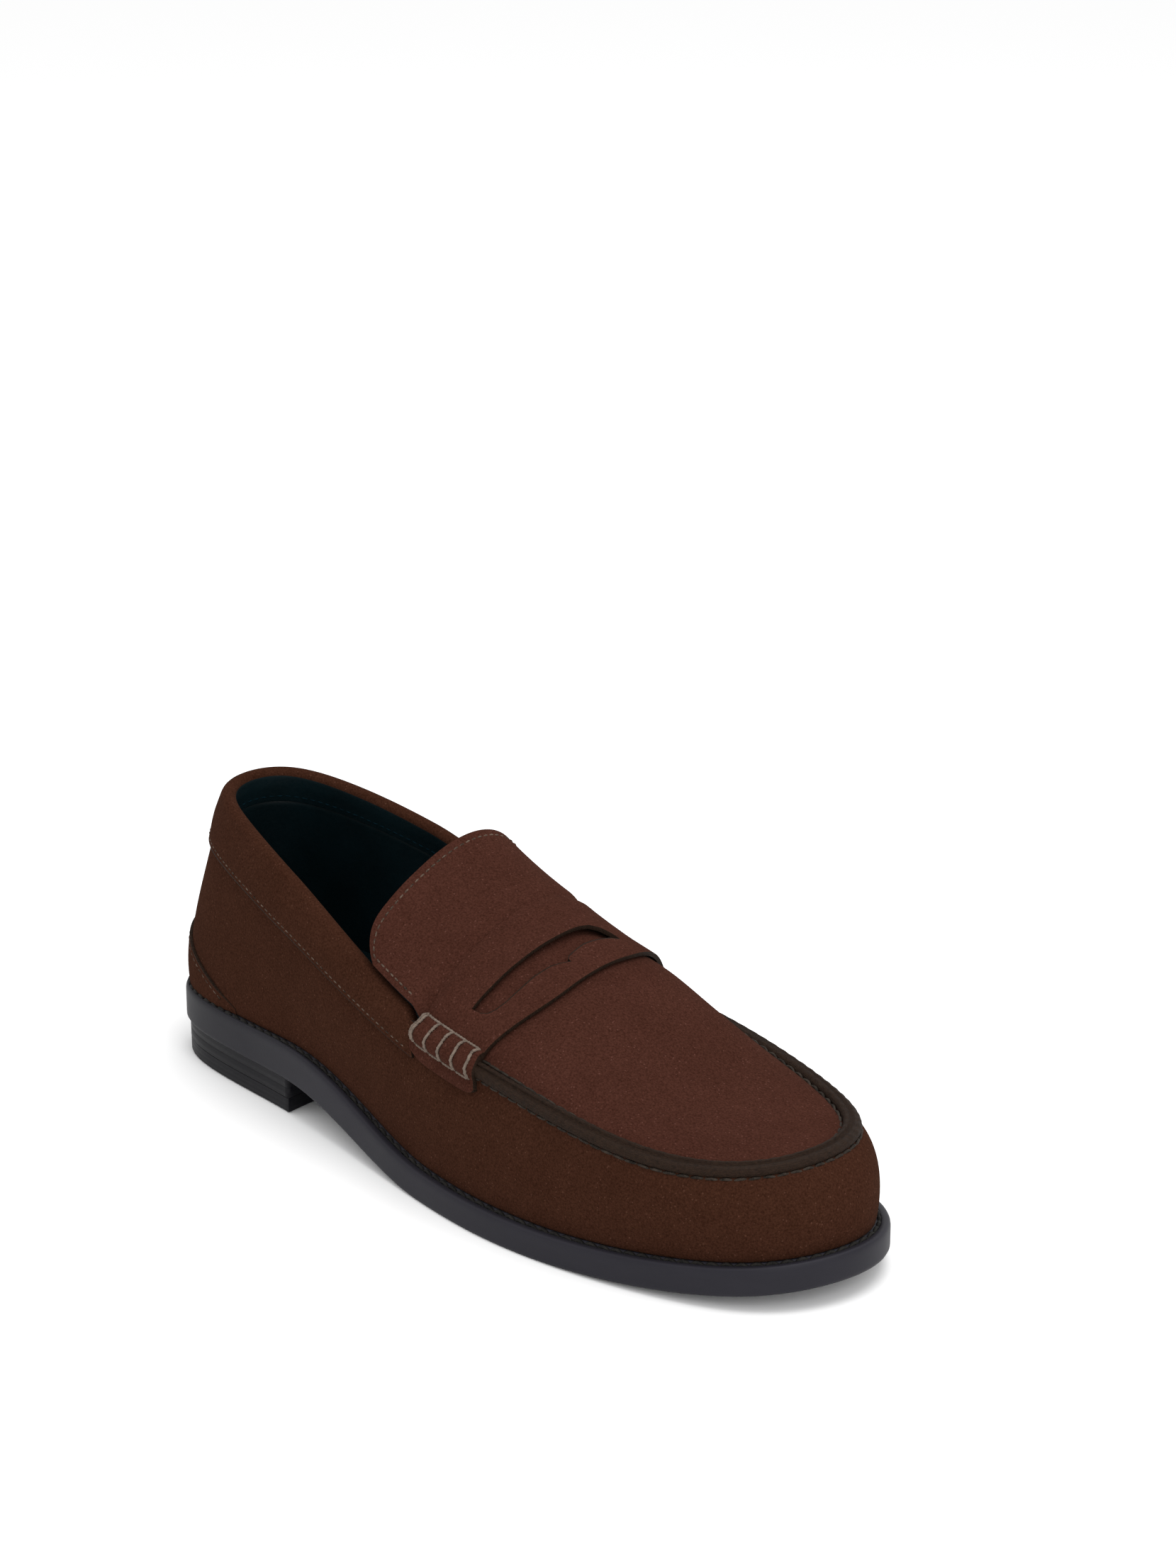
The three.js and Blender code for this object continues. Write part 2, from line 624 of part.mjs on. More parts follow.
// The collar band is a hook in section: up the outside, over the topline and down the inside.
const collarPath = (() => {
  const skin = COLLAR_SKIN / 2;
  const lap = CLEARANCE + skin;
  const centre = -COLLAR_RADIUS - skin / 2;
  const path = [
    [-COLLAR_DEPTH, lap],
    [-wallTop + 0.6, lap],
    [-wallTop / 2, (lap + centre + COLLAR_RADIUS) / 2],
  ];
  for (let i = 0; i <= 4; i += 1) {
    const angle = (i / 4) * Math.PI;
    path.push([Math.sin(angle) * COLLAR_RADIUS, centre + Math.cos(angle) * COLLAR_RADIUS]);
  }
  path.push([-COLLAR_TURN_IN, centre - COLLAR_RADIUS]);
  return path;
})();

// The path's corner with the band's thickness laid off to one side: 0 for the inner face, 1 for the outer.
function collarCorner(k, face) {
  const before = collarPath[Math.max(0, k - 1)];
  const after = collarPath[Math.min(collarPath.length - 1, k + 1)];
  const direction = new THREE.Vector2(after[0] - before[0], after[1] - before[1]).normalize();
  const reach = (face - 0.5) * COLLAR_SKIN;
  return [collarPath[k][0] - direction.y * reach, collarPath[k][1] + direction.x * reach];
}

const collar = sheetGeometry(32, collarPath.length - 1, (s, t, face) => {
  const [up, outward] = collarCorner(Math.round(t * (collarPath.length - 1)), face);
  return fromRim(lerp(collarEndInner, collarEnd, s), up, outward);
});
addPiece("collar_band", collar, SUEDE);

const foamHalf = COLLAR_RADIUS - COLLAR_SKIN / 2 - CLEARANCE;
const foamMiddle = -COLLAR_RADIUS - COLLAR_SKIN / 4;
const foamFloor = -COLLAR_TURN_IN;
const foamSection = [
  [foamFloor, foamMiddle - foamHalf],
  [0, foamMiddle - foamHalf],
  [foamHalf, foamMiddle],
  [0, foamMiddle + foamHalf],
  [foamFloor, foamMiddle + foamHalf],
];
const foam = barGeometry(foamSection.length, 30, (corner, t) => {
  const [up, outward] = corner < 0 ? [foamFloor / 2, foamMiddle] : foamSection[corner];
  return fromRim(lerp(collarEndInner + 0.05, collarEnd - 0.05, t), up, outward);
});
addPiece("collar_foam", foam, FOAM);

// Laid on the outside of the wall at the heel: the crescent foxing and the strip over the back seam.
const FOXING_REACH = 2.35; // stations from the heel back to each tip of the crescent
const FOXING_TIP = 2; // its height at each tip
const FOXING_CURVE = 1.7; // 1 for a straight top edge, more for a rounder one
const foxingRise = (station) => {
  const towardsMiddle = 1 - Math.abs(station / FOXING_REACH) ** FOXING_CURVE;
  return FOXING_TIP + (FOXING_HEIGHT - FOXING_TIP) * towardsMiddle;
};
const overlay = (station, rise, face) => {
  const curve = wallCurve(station);
  return wallPoint(station, curve.getUtoTmapping(0, rise), CLEARANCE + LINING * face);
};
const foxing = sheetGeometry(20, 3, (s, t, face) => {
  const station = lerp(-FOXING_REACH, FOXING_REACH, s);
  return overlay(station, t * foxingRise(station), face);
});
addPiece("heel_foxing", foxing, SUEDE);

// The strip widens to a point just above the foxing.
const STRIP_WIDENING = 0.9; // share of its width that it gains
const STRIP_WIDEST = 0.28; // share of its length at which it is widest
const stripBottom = FOXING_HEIGHT + 2 * CLEARANCE;
const stripTop = wallCurve(0).getLength() - COLLAR_DEPTH - 2 * CLEARANCE;
const stationsPerMillimetre = 0.5 / Math.abs(soleEdge(0.5).y - soleEdge(0).y);
const backStrip = sheetGeometry(4, 7, (s, t, face) => {
  const rise = lerp(stripBottom, stripTop, t);
  const widening = 1 + STRIP_WIDENING * Math.max(0, 1 - Math.abs(t - STRIP_WIDEST) / STRIP_WIDEST);
  const halfWidth = (BACK_STRIP_WIDTH / 2) * widening * stationsPerMillimetre;
  return overlay((2 * s - 1) * halfWidth, rise, face);
});
addPiece("back_strip", backStrip, SUEDE);

// ---------- apron, strap and tongue ----------

const APRON_INSET = LEATHER + 2 * CLEARANCE;
const apronRear = along(STRAP_REAR + 3);

// The apron's outer face: s runs from under the strap to the toe, t from the outer to the inner side.
function apronSurface(inset) {
  const outerStart = stationAt(apronRear);
  const innerStart = stationAt(apronRear, true);
  return (s, t) => {
    const outer = rim(lerp(outerStart, TOE - CORNER, s), inset);
    const inner = rim(lerp(innerStart, TOE + CORNER, s), inset);
    const point = archPoint(outer, inner, t);
    const lastOuter = rim(TOE - CORNER, inset);
    const lastInner = rim(TOE + CORNER, inset);
    const bulge = rim(TOE - CORNER * (1 - 2 * t), inset).sub(archPoint(lastOuter, lastInner, t));
    return point.addScaledVector(bulge, s ** 3);
  };
}

function layer(surface, columns, rows, low, high) {
  return sheetGeometry(columns, rows, (s, t, face) => offSurface(surface, s, t, lerp(low, high, face)));
}
// Part of a surface: the rectangle between two values of s and two of t.
const partOf = (surface, s0, s1, t0, t1) => (s, t) => surface(lerp(s0, s1, s), lerp(t0, t1, t));

const ACROSS = 12; // rows that every layer over the instep is divided into
const liningTop = -LEATHER - CLEARANCE;
const apronFace = apronSurface(APRON_INSET);
addPiece("apron", layer(apronFace, 16, ACROSS, -LEATHER, 0), APRON_SUEDE);
const APRON_LINING_FRONT = 0.93; // it ends at this share of the apron's length, behind the toe puff
const apronLining = partOf(apronFace, 0, APRON_LINING_FRONT, 1 / 6, 5 / 6);
addPiece("apron_lining", layer(apronLining, 14, ACROSS - 4, liningTop - LINING, liningTop), DARK_LINING);

// The strap crosses the instep on top of the apron, and narrows to the roll at each side.
const strapSurface = (s, t) => {
  const fromSide = Math.min(1, 2.6 * Math.min(t, 1 - t));
  const width = lerp(STRAP_WIDTH_AT_ROLL, STRAP_WIDTH, smoothstep(fromSide, 0, 1));
  const x = along(STRAP_REAR + width * s);
  return archPoint(rim(stationAt(x), APRON_INSET), rim(stationAt(x, true), APRON_INSET), t);
};
const STRAP_LIFT = 2 * CLEARANCE; // the strap lies loose on the apron
const strapTop = STRAP_LIFT + LEATHER;
const strap = layer(strapSurface, 8, ACROSS, STRAP_LIFT, strapTop);

// The slot in the strap, as places ahead of the strap's rear edge and across it: along its rear edge from the
// outer tip to the hooked inner tip, and back along the front lip, which comes to a point.
const SLOT_OUTLINE = [
  [15.4, -31],
  [16.2, -23.5],
  [16.8, -11.8],
  [17.6, 1.8],
  [17.9, 12],
  [19.4, 16.5],
  [22.6, 18.8],
  [26.6, 19.4],
  [25.2, 16.5],
  [24.6, 12],
  [24, 6.5],
  [25.2, 1.1],
  [27.8, -1.7],
  [24.6, -7.4],
  [23.8, -13.2],
  [23.8, -21.5],
  [22, -27.7],
  [18.6, -31],
];
const slot = new THREE.Shape(
  SLOT_OUTLINE.map(([place, side]) => new THREE.Vector2(along(STRAP_REAR + place), across(side))),
);
const slotCutter = new THREE.ExtrudeGeometry(slot, { depth: 90, bevelEnabled: false });
addPiece("saddle_strap", cut(strap, [facingOut(slotCutter.translate(0, 0, 30))]), APRON_SUEDE);

// The tongue runs back and up from under the strap's rear edge and lies on the collar's front ends. Its wings
// start further back than its middle, so that they lift clear of the collar when the tongue is raised.
const TONGUE_ROOT = 2.5; // it starts this far under the strap
const WING_SETBACK = 10;
const TONGUE_CORNER = 8; // how far its top corners are cut back
const CORNER_START = 0.6; // share of its half width at which they start
const CORNER_CURVE = 2.5;
const tongueFace = (s, t) => {
  const towardsSide = Math.abs(2 * t - 1);
  const intoCorner = Math.max(0, (towardsSide - CORNER_START) / (1 - CORNER_START));
  const cornerCut = TONGUE_CORNER * intoCorner ** CORNER_CURVE;
  const root = STRAP_REAR + TONGUE_ROOT - WING_SETBACK * smoothstep(towardsSide, 0.5, 0.95);
  const top = STRAP_REAR - TONGUE_LENGTH + cornerCut;
  const place = lerp(root, top, s);
  const x = along(place);
  const risen = 1 - smoothstep(place, COLLAR_FRONT - 0.5, STRAP_REAR - 0.3);
  const inset = lerp(APRON_INSET, 1, risen);
  const outer = rim(stationAt(x), inset, TONGUE_RAISE * risen);
  const inner = rim(stationAt(x, true), inset, TONGUE_RAISE * risen);
  return archPoint(outer, inner, 1 - t, TONGUE_RAISE * risen);
};
addPiece("tongue", layer(tongueFace, 10, ACROSS, -LEATHER, 0), APRON_SUEDE);
const tongueLining = partOf(tongueFace, 0.1, 0.9, 1 / 6, 5 / 6);
addPiece("tongue_lining", layer(tongueLining, 8, ACROSS - 4, liningTop - LINING, liningTop), DARK_LINING);

// ---------- ridge, rolls, tabs and lashings ----------

// A point over the apron's edge: a distance in along the apron, and a height off it.
function overApron(station, distance, height) {
  const edge = rim(station, APRON_INSET);
  const onInnerSide = station > TOE;
  const shoulders = shouldersAt(edge.x);
  const [inward, upward] = onInnerSide ? shoulders.slice(2) : shoulders;
  const lean = outwardAt(station).multiplyScalar(-inward).addScaledVector(UP, upward).normalize();
  const off = outwardAt(station).multiplyScalar(upward).addScaledVector(UP, inward).normalize();
  return edge.addScaledVector(lean, distance).addScaledVector(off, height);
}

// The ridge hides the seam between apron and wall, from one roll round the toe to the other.
const ridgeSection = [
  (station) => overApron(station, RIDGE_HALF - 1.6, CLEARANCE + 0.2),
  (station) => overApron(station, RIDGE_HALF - 1.8, 0.75 * RIDGE_HEIGHT),
  (station) => overApron(station, 0, RIDGE_HEIGHT).lerp(fromRim(station, 0, RIDGE_HEIGHT), 0.5),
  (station) => fromRim(station, -0.8, 0.8 * RIDGE_HEIGHT),
  (station) => fromRim(station, -RIDGE_HALF - 0.2, CLEARANCE + 0.7),
  (station) => fromRim(station, -RIDGE_HALF, CLEARANCE),
  (station) => fromRim(station, 0, CLEARANCE),
  (station) => overApron(station, 0, CLEARANCE + 0.1),
];
const ridgeStart = stationAt(along(ROLL_FRONT + 1));
const ridgeEnd = stationAt(along(ROLL_FRONT + 1), true);
const ridge = barGeometry(ridgeSection.length, 40, (corner, t) => {
  const station = lerp(ridgeStart, ridgeEnd, t);
  if (corner >= 0) return ridgeSection[corner](station);
  return fromRim(station, 0, CLEARANCE + 0.6);
});
addPiece("apron_seam_ridge", ridge, SUEDE_DARK);

// At each side the strap ends in a tab on the wall, under a leather roll that is lashed down with thread.
const TAB_TOP = 1.5; // the tab starts this far below the rim
const tabOutside = CLEARANCE + LEATHER;
const rollPlace = (fraction) => along(lerp(STRAP_REAR + 0.4, ROLL_FRONT - 0.4, fraction));

function rollCorner(inner, fraction, corner) {
  const station = stationAt(rollPlace(fraction), inner);
  const onStrap = (t, off) => {
    const s = lerp(0.02, 0.98, fraction);
    return offSurface(strapSurface, s, inner ? 1 - t : t, strapTop + off);
  };
  const corners = [
    () => onStrap(0.055, CLEARANCE),
    () => onStrap(0.055, 0.4 * ROLL_HEIGHT),
    () => onStrap(0.02, 0.85 * ROLL_HEIGHT),
    () => fromRim(station, -1, tabOutside + ROLL_HEIGHT),
    () => fromRim(station, 1 - ROLL_HALF, tabOutside + 0.75 * ROLL_HEIGHT),
    () => fromRim(station, -ROLL_HALF - 0.6, tabOutside + 0.25 * ROLL_HEIGHT),
    () => fromRim(station, -ROLL_HALF - 0.4, tabOutside + CLEARANCE),
    () => fromRim(station, -0.5, tabOutside + CLEARANCE),
    () => onStrap(0, CLEARANCE),
  ];
  if (corner >= 0) return corners[corner]();
  return corners[2]().add(corners[4]()).add(corners[7]()).divideScalar(3);
}

const LASHING_ROOM = 0.8; // share of the leather's thickness between the roll's corners and the thread

// The lashing's thread goes back and forth over the roll, and steps along it at each edge.
function lashingPath(inner) {
  const points = [];
  for (let wrap = 0; wrap < LASHING_WRAPS; wrap += 1) {
    const fraction = lerp(0.06, 0.94, wrap / (LASHING_WRAPS - 1));
    const middle = rollCorner(inner, fraction, -1);
    const reach = 2 * LASHING_RADIUS + LASHING_ROOM * LEATHER;
    const over = [1, 2, 3, 4].map((corner) => {
      const point = rollCorner(inner, fraction, corner);
      const away = point.clone().sub(middle).normalize();
      return point.addScaledVector(away, reach);
    });
    const station = stationAt(rollPlace(fraction), inner);
    over.push(fromRim(station, -ROLL_HALF - 0.6 - reach, tabOutside + CLEARANCE + 1.4 * LASHING_RADIUS));
    if (wrap % 2) over.reverse();
    points.push(...over);
  }
  return new THREE.CatmullRomCurve3(points);
}

const threadSection = new THREE.Shape();
threadSection.absarc(0, 0, LASHING_RADIUS, 0, 2 * Math.PI);

[false, true].forEach((inner) => {
  const side = inner ? "inner" : "outer";
  const roll = barGeometry(9, 8, (corner, t) => rollCorner(inner, t, corner));
  addPiece("roll_" + side, roll, SUEDE_DARK);
  const tab = sheetGeometry(8, 2, (s, t, face) => {
    const rounding = 2 * (2 * s - 1) ** 4;
    const depth = lerp(TAB_DEPTH - rounding, TAB_TOP, t);
    return fromRim(stationAt(rollPlace(s), inner), -depth, CLEARANCE + LEATHER * face);
  });
  addPiece("strap_tab_" + side, tab, APRON_SUEDE);
  const thread = new THREE.ExtrudeGeometry(threadSection, {
    steps: 44,
    curveSegments: 3,
    bevelEnabled: false,
    extrudePath: lashingPath(inner),
  });
  addPiece("roll_lashing_" + side, facingOut(thread), THREAD);
});

const loafer = new THREE.Group();
loafer.add(shoe);
export default loafer;
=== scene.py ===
"""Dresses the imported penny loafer: suede upper, slate rubber sole, hand-sewn apron, lashed side rolls and thread.

Lengths in the tables are millimetres. +X runs to the toe, +Y to the inner side of the foot and +Z up. Stations
number both the sole's edge and the rim of the wall: 0 at the back of the heel, along the outer side to 10 at the
toe, and back along the inner side to 20.
"""

import math

import bmesh
import bpy
import numpy as np
from mathutils import Matrix, Vector


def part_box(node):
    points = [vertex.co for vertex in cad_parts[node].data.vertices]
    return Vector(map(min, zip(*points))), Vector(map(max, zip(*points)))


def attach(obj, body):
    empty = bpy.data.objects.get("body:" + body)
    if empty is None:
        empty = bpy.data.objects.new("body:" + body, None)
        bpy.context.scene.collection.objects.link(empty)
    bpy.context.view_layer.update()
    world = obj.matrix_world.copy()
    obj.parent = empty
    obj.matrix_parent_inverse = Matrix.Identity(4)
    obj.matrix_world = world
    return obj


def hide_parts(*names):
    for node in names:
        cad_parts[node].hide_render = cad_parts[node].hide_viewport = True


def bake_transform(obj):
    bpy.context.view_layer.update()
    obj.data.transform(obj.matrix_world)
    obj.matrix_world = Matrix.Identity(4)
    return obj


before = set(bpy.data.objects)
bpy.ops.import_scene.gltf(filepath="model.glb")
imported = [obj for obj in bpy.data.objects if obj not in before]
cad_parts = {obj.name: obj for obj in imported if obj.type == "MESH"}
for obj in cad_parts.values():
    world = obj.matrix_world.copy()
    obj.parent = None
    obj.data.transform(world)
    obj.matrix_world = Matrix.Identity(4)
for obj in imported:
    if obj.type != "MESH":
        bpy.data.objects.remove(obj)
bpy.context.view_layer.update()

bl_info = {
    "name": "Penny loafer",
    "version": (1, 0, 0),
    "blender": (4, 5, 0),
    "location": "3D View > Sidebar > Loafer",
    "description": "Makes the leather, rubber and thread of a penny loafer over its frame",
    "category": "Mesh",
}

MM = 0.001

# ---------- the form that every layer is laid on ----------

# sole edge x y | rim x y, rise over the sole | handles of the wall's curve: foot out up, rim out down
STATIONS = np.array([
    [-152, -1, -139, 0, 70, 2.6, 20, 4, 24], [-146, -28, -133, -17, 69, 2.6, 20, 4, 24],
    [-118, -35, -114, -25, 66, 2.6, 18, 4, 22], [-80, -36, -86, -32, 60.5, 2.6, 16, 4, 20],
    [-40, -41, -54, -36, 50, 2.6, 16, 4.5, 18], [0, -48, -18, -39, 46, 2.6, 15, 5, 15],
    [40, -53, 20, -42, 43, 2.6, 15, 5, 11], [80, -48, 62, -44, 39.5, 2.6, 14, 5, 9],
    [115, -38, 100, -37, 30.5, 2.6, 13, 7, 6], [140, -24, 126, -21, 27.5, 2.6, 13, 9, 4],
    [151, 3, 134, 4, 27.3, 2.6, 13, 10, 3], [144, 27, 126, 29, 27.5, 2.6, 13, 9, 4],
    [118, 44, 100, 42, 30.5, 2.6, 13, 7, 6], [80, 50, 62, 44, 40, 2.6, 14, 5, 9],
    [45, 48, 20, 40, 45, 2.6, 15, 5, 11], [5, 37, -18, 37, 49, 2.6, 15, 5, 15],
    [-40, 28, -54, 35, 55, 2.6, 16, 4.5, 18], [-80, 30, -86, 31, 62, 2.6, 16, 4, 20],
    [-118, 33, -114, 25, 67, 2.6, 18, 4, 22], [-146, 25, -133, 17, 69.5, 2.6, 20, 4, 24],
], float)
TOE, TURN, CORNER = 10.0, 20.0, 0.9

# The arch over the instep: place along the shoe | outer shoulder in, up | inner shoulder in, up
SHOULDERS = np.array([
    [-36, 10, 24, 8, 50], [1, 12, 25, 8, 42], [37, 15, 16, 9, 37], [56, 16, 11, 12, 26],
    [70, 16, 7, 13, 17], [84, 15, 4, 13, 10], [112, 11, 1.5, 10, 3.5], [134, 8, 0, 8, 0],
], float)

SOLE_LENGTH, SOLE_WIDTH = 299.0, 100.5
HEEL_RISE, SOLE_AT_HEEL, SOLE_AT_BALL, TOE_SPRING = 12.5, 12.4, 9.4, 7.6
CLEARANCE, LEATHER, LINING, STIFFENER = 0.4, 1.5, 1.0, 1.3
WELT_WIDTH = 9.0
COLLAR_DEPTH, COLLAR_LAP, COLLAR_SKIN, COLLAR_RADIUS, COLLAR_TURN_IN = 16.0, 4.0, 1.0, 2.2, 9.0
FOXING_HEIGHT, FOXING_REACH, BACK_STRIP_WIDTH = 24.0, 2.35, 11.0
STRAP_WIDTH, STRAP_WIDTH_AT_ROLL, TONGUE_LENGTH, TONGUE_RAISE = 36.0, 29.0, 34.0, 4.9
RIDGE_HALF, RIDGE_HEIGHT, TAB_REACH = 3.0, 2.4, 9.4
APRON_INSET = LEATHER + 2 * CLEARANCE
STRAP_TOP = 2 * CLEARANCE + LEATHER
LINING_FACE = LEATHER + STIFFENER + LINING + 2 * CLEARANCE
COLLAR_FRONT = -5.0
PAD_FOOT = -3.0  # where the padding under the collar starts to swell, up from the rim
CREST = 3.4  # how far the strap and tongue stand up over the inner side of the instep
ROLL_PAST = 1.6  # how far a roll and its tab run past the strap's front edge
ROLL_RISE, ROLL_PINCH = 3.1, 0.6  # how high a roll stands, and how far the thread pulls it in
WRAPS, FIRST_WRAP, LAST_WRAP = 5, 0.06, 0.94
HALVINGS = 40  # steps of a search by halving


def spline(rows, station):
    """A closed uniform cubic B-spline through the rows, at station numbers."""
    station = np.asarray(station, float)
    first = np.floor(station).astype(int)
    part = (station - first)[..., None]
    weights = ((1 - part) ** 3, 3 * part**3 - 6 * part**2 + 4, -3 * part**3 + 3 * part**2 + 3 * part + 1, part**3)
    return sum(w * rows[(first + k - 1) % len(rows)] for k, w in enumerate(weights)) / 6


def smoothstep(x, low, high):
    t = np.clip((np.asarray(x, float) - low) / (high - low), 0, 1)
    return t * t * (3 - 2 * t)


def lerp(a, b, t):
    return a + (b - a) * t


SKETCH = spline(STATIONS, np.arange(0, TURN, 0.05))
SKETCH_LOW, SKETCH_HIGH = SKETCH[:, :2].min(0), SKETCH[:, :2].max(0)
SKETCH_SCALE = np.array([SOLE_LENGTH, SOLE_WIDTH]) / (SKETCH_HIGH - SKETCH_LOW)


def along(x):
    """Millimetres along the shoe, for a place in the tables."""
    return (x - (SKETCH_LOW[0] + SKETCH_HIGH[0]) / 2) * SKETCH_SCALE[0]


def across(y):
    """Millimetres across the shoe, for a place in the tables."""
    return (y - (SKETCH_LOW[1] + SKETCH_HIGH[1]) / 2) * SKETCH_SCALE[1]


EDGE = np.stack([along(STATIONS[:, 0]), across(STATIONS[:, 1])], 1)
RIM = np.stack([along(STATIONS[:, 2]), across(STATIONS[:, 3]), STATIONS[:, 4]], 1)
HANDLES = STATIONS[:, 5:]


def underside(x):
    spring = np.clip((x - along(55)) / (SOLE_LENGTH / 2 - along(55)), 0, None)
    return HEEL_RISE * (1 - smoothstep(x, along(-74.6), along(7.2))) + TOE_SPRING * spring**2


def sole_top(x):
    return underside(x) + lerp(SOLE_AT_HEEL, SOLE_AT_BALL, smoothstep(x, along(-60), along(30)))


def flat3(x, y, z=0.0):
    return np.stack(np.broadcast_arrays(x, y, z), -1)


def unit(v):
    return v / np.maximum(np.linalg.norm(v, axis=-1, keepdims=True), 1e-9)


def outward_at(u):
    d = spline(EDGE, u + 0.01) - spline(EDGE, u - 0.01)
    return unit(flat3(d[..., 1], -d[..., 0]))


def sole_edge(u, inset=0.0):
    p = spline(EDGE, u)
    return flat3(p[..., 0], p[..., 1]) - outward_at(u) * np.asarray(inset, float)[..., None]


def feather_inset(u):
    """How far in from the sole's edge the wall's foot stands."""
    return lerp(2.5, 4.5, smoothstep(spline(EDGE, u)[..., 0], along(-110), along(-20)))


def with_z(p, z):
    return flat3(p[..., 0], p[..., 1], z)


def rim(u, inset=0.0, lift=0.0):
    p = spline(RIM, u)
    point = flat3(p[..., 0], p[..., 1], sole_top(p[..., 0]) + p[..., 2] + lift)
    return point - outward_at(u) * np.asarray(inset, float)[..., None]


def bezier(handles, t):
    t = np.asarray(t, float)[..., None]
    a, b, c, d = handles
    return (1 - t) ** 3 * a + 3 * t * (1 - t) ** 2 * b + 3 * t * t * (1 - t) * c + t**3 * d


def bezier_slope(handles, t):
    t = np.asarray(t, float)[..., None]
    a, b, c, d = handles
    return unit((1 - t) ** 2 * (b - a) + 2 * t * (1 - t) * (c - b) + t * t * (d - c))


def wall_handles(u):
    u = np.asarray(u, float)
    h = spline(HANDLES, u)
    foot = sole_edge(u, feather_inset(u))
    foot = with_z(foot, sole_top(foot[..., 0]) + CLEARANCE)
    top, out, up = rim(u), outward_at(u), np.array([0, 0, 1.0])
    return (foot, foot + out * h[..., :1] + up * h[..., 1:2], top + out * h[..., 2:3] - up * h[..., 3:4], top)


def wall(u, v, out=0.0):
    """A point of the side wall: v is 0 at its foot and 1 at the rim, and out is off its outer face."""
    u, v, out = np.broadcast_arrays(np.asarray(u, float), v, out)
    handles = wall_handles(u)
    ring = bezier(wall_handles(u + 0.01), v) - bezier(wall_handles(u - 0.01), v)
    face = unit(np.cross(ring, bezier_slope(handles, v)))
    return bezier(handles, v) + face * out[..., None]


def v_at_length(u, length, from_rim=False):
    """The v that lies a length up from the wall's foot, or down from its rim."""
    u, length = np.broadcast_arrays(np.asarray(u, float), np.asarray(length, float))
    shape, u, length = u.shape, u.ravel(), length.ravel()
    steps = 40
    line = bezier([h[:, None] for h in wall_handles(u)], np.linspace(0, 1, steps + 1)[None])
    run = np.concatenate([np.zeros((len(u), 1)), np.cumsum(np.linalg.norm(np.diff(line, axis=1), axis=2), 1)], 1)
    goal = np.clip(run[:, -1] - length if from_rim else length, 0, run[:, -1])
    k = np.clip((run < goal[:, None]).sum(1), 1, steps)
    row = np.arange(len(u))
    low, high = run[row, k - 1], run[row, k]
    return ((k - 1 + (goal - low) / (high - low)) / steps).reshape(shape)


def from_rim(u, up, out):
    """A point by its distance up from the rim (or, below 0, down the wall), and off the wall's outer face."""
    u, up, out = np.broadcast_arrays(np.asarray(u, float), up, out)
    point = wall(u, v_at_length(u, np.maximum(-up, 0), True), out)
    return point + bezier_slope(wall_handles(u), 1.0) * np.maximum(up, 0)[..., None]


def station_at(x, inner=False):
    """The station on the outer (or inner) side where the rim passes a place along the shoe."""
    x = np.asarray(x, float)
    low, high = np.full(x.shape, 0.2), np.full(x.shape, TOE - 0.2)
    for _ in range(HALVINGS):
        middle = (low + high) / 2
        behind = spline(RIM, TURN - middle if inner else middle)[..., 0] < x
        low, high = np.where(behind, middle, low), np.where(behind, high, middle)
    return TURN - low if inner else low


def shoulders_at(x):
    x = np.asarray(x, float)
    places = along(SHOULDERS[:, 0])
    i = np.clip(np.searchsorted(places, x, side="right") - 1, 0, len(places) - 2)
    run = places[i + 1] - places[i]
    t = np.clip((x - places[i]) / run, 0, 1)[..., None]
    values = SHOULDERS[:, 1:]

    def slope(k):
        before, after = np.maximum(0, k - 1), np.minimum(len(places) - 1, k + 1)
        return (values[after] - values[before]) / (places[after] - places[before])[..., None]

    run = run[..., None]
    return ((2 * t**3 - 3 * t**2 + 1) * values[i] + (t**3 - 2 * t**2 + t) * run * slope(i)
            + (3 * t**2 - 2 * t**3) * values[i + 1] + (t**3 - t**2) * run * slope(i + 1))


def arch(outer, inner, side, raised=0.0):
    """A point over the instep, from 0 at the outer edge to 1 at the inner one."""
    s = shoulders_at((outer[..., 0] + inner[..., 0]) / 2)
    eased = 4 / 3 * np.asarray(raised, float)
    zero = np.zeros_like(s[..., 0])
    over = outer + np.stack([zero, s[..., 0], s[..., 1] - eased], -1)
    under = inner + np.stack([zero, -s[..., 2], s[..., 3] - eased], -1)
    return bezier((outer, over, under, inner), side)


def off(surface, s, t, distance):
    """A surface's point moved off it along its normal."""
    s, t, distance = np.broadcast_arrays(np.asarray(s, float), t, distance)
    step = 0.004
    along_s = surface(np.minimum(s + step, 1), t) - surface(np.maximum(s - step, 0), t)
    along_t = surface(s, np.minimum(t + step, 1)) - surface(s, np.maximum(t - step, 0))
    return surface(s, t) + unit(np.cross(along_s, along_t)) * distance[..., None]


APRON_REAR = along(3.0)


def apron_face(s, t):
    outer_start, inner_start = station_at(APRON_REAR), station_at(APRON_REAR, True)
    outer = rim(lerp(outer_start, TOE - CORNER, s), APRON_INSET)
    inner = rim(lerp(inner_start, TOE + CORNER, s), APRON_INSET)
    last = arch(rim(np.float64(TOE - CORNER), APRON_INSET), rim(np.float64(TOE + CORNER), APRON_INSET), t)
    bulge = rim(TOE - CORNER * (1 - 2 * t), APRON_INSET) - last
    return arch(outer, inner, t) + bulge * (s**3)[..., None]


def strap_face(s, t):
    from_side = np.minimum(1, 2.6 * np.minimum(t, 1 - t))
    width = lerp(STRAP_WIDTH_AT_ROLL, STRAP_WIDTH, smoothstep(from_side, 0, 1))
    x = along(width * s)
    return arch(rim(station_at(x), APRON_INSET), rim(station_at(x, True), APRON_INSET), t)


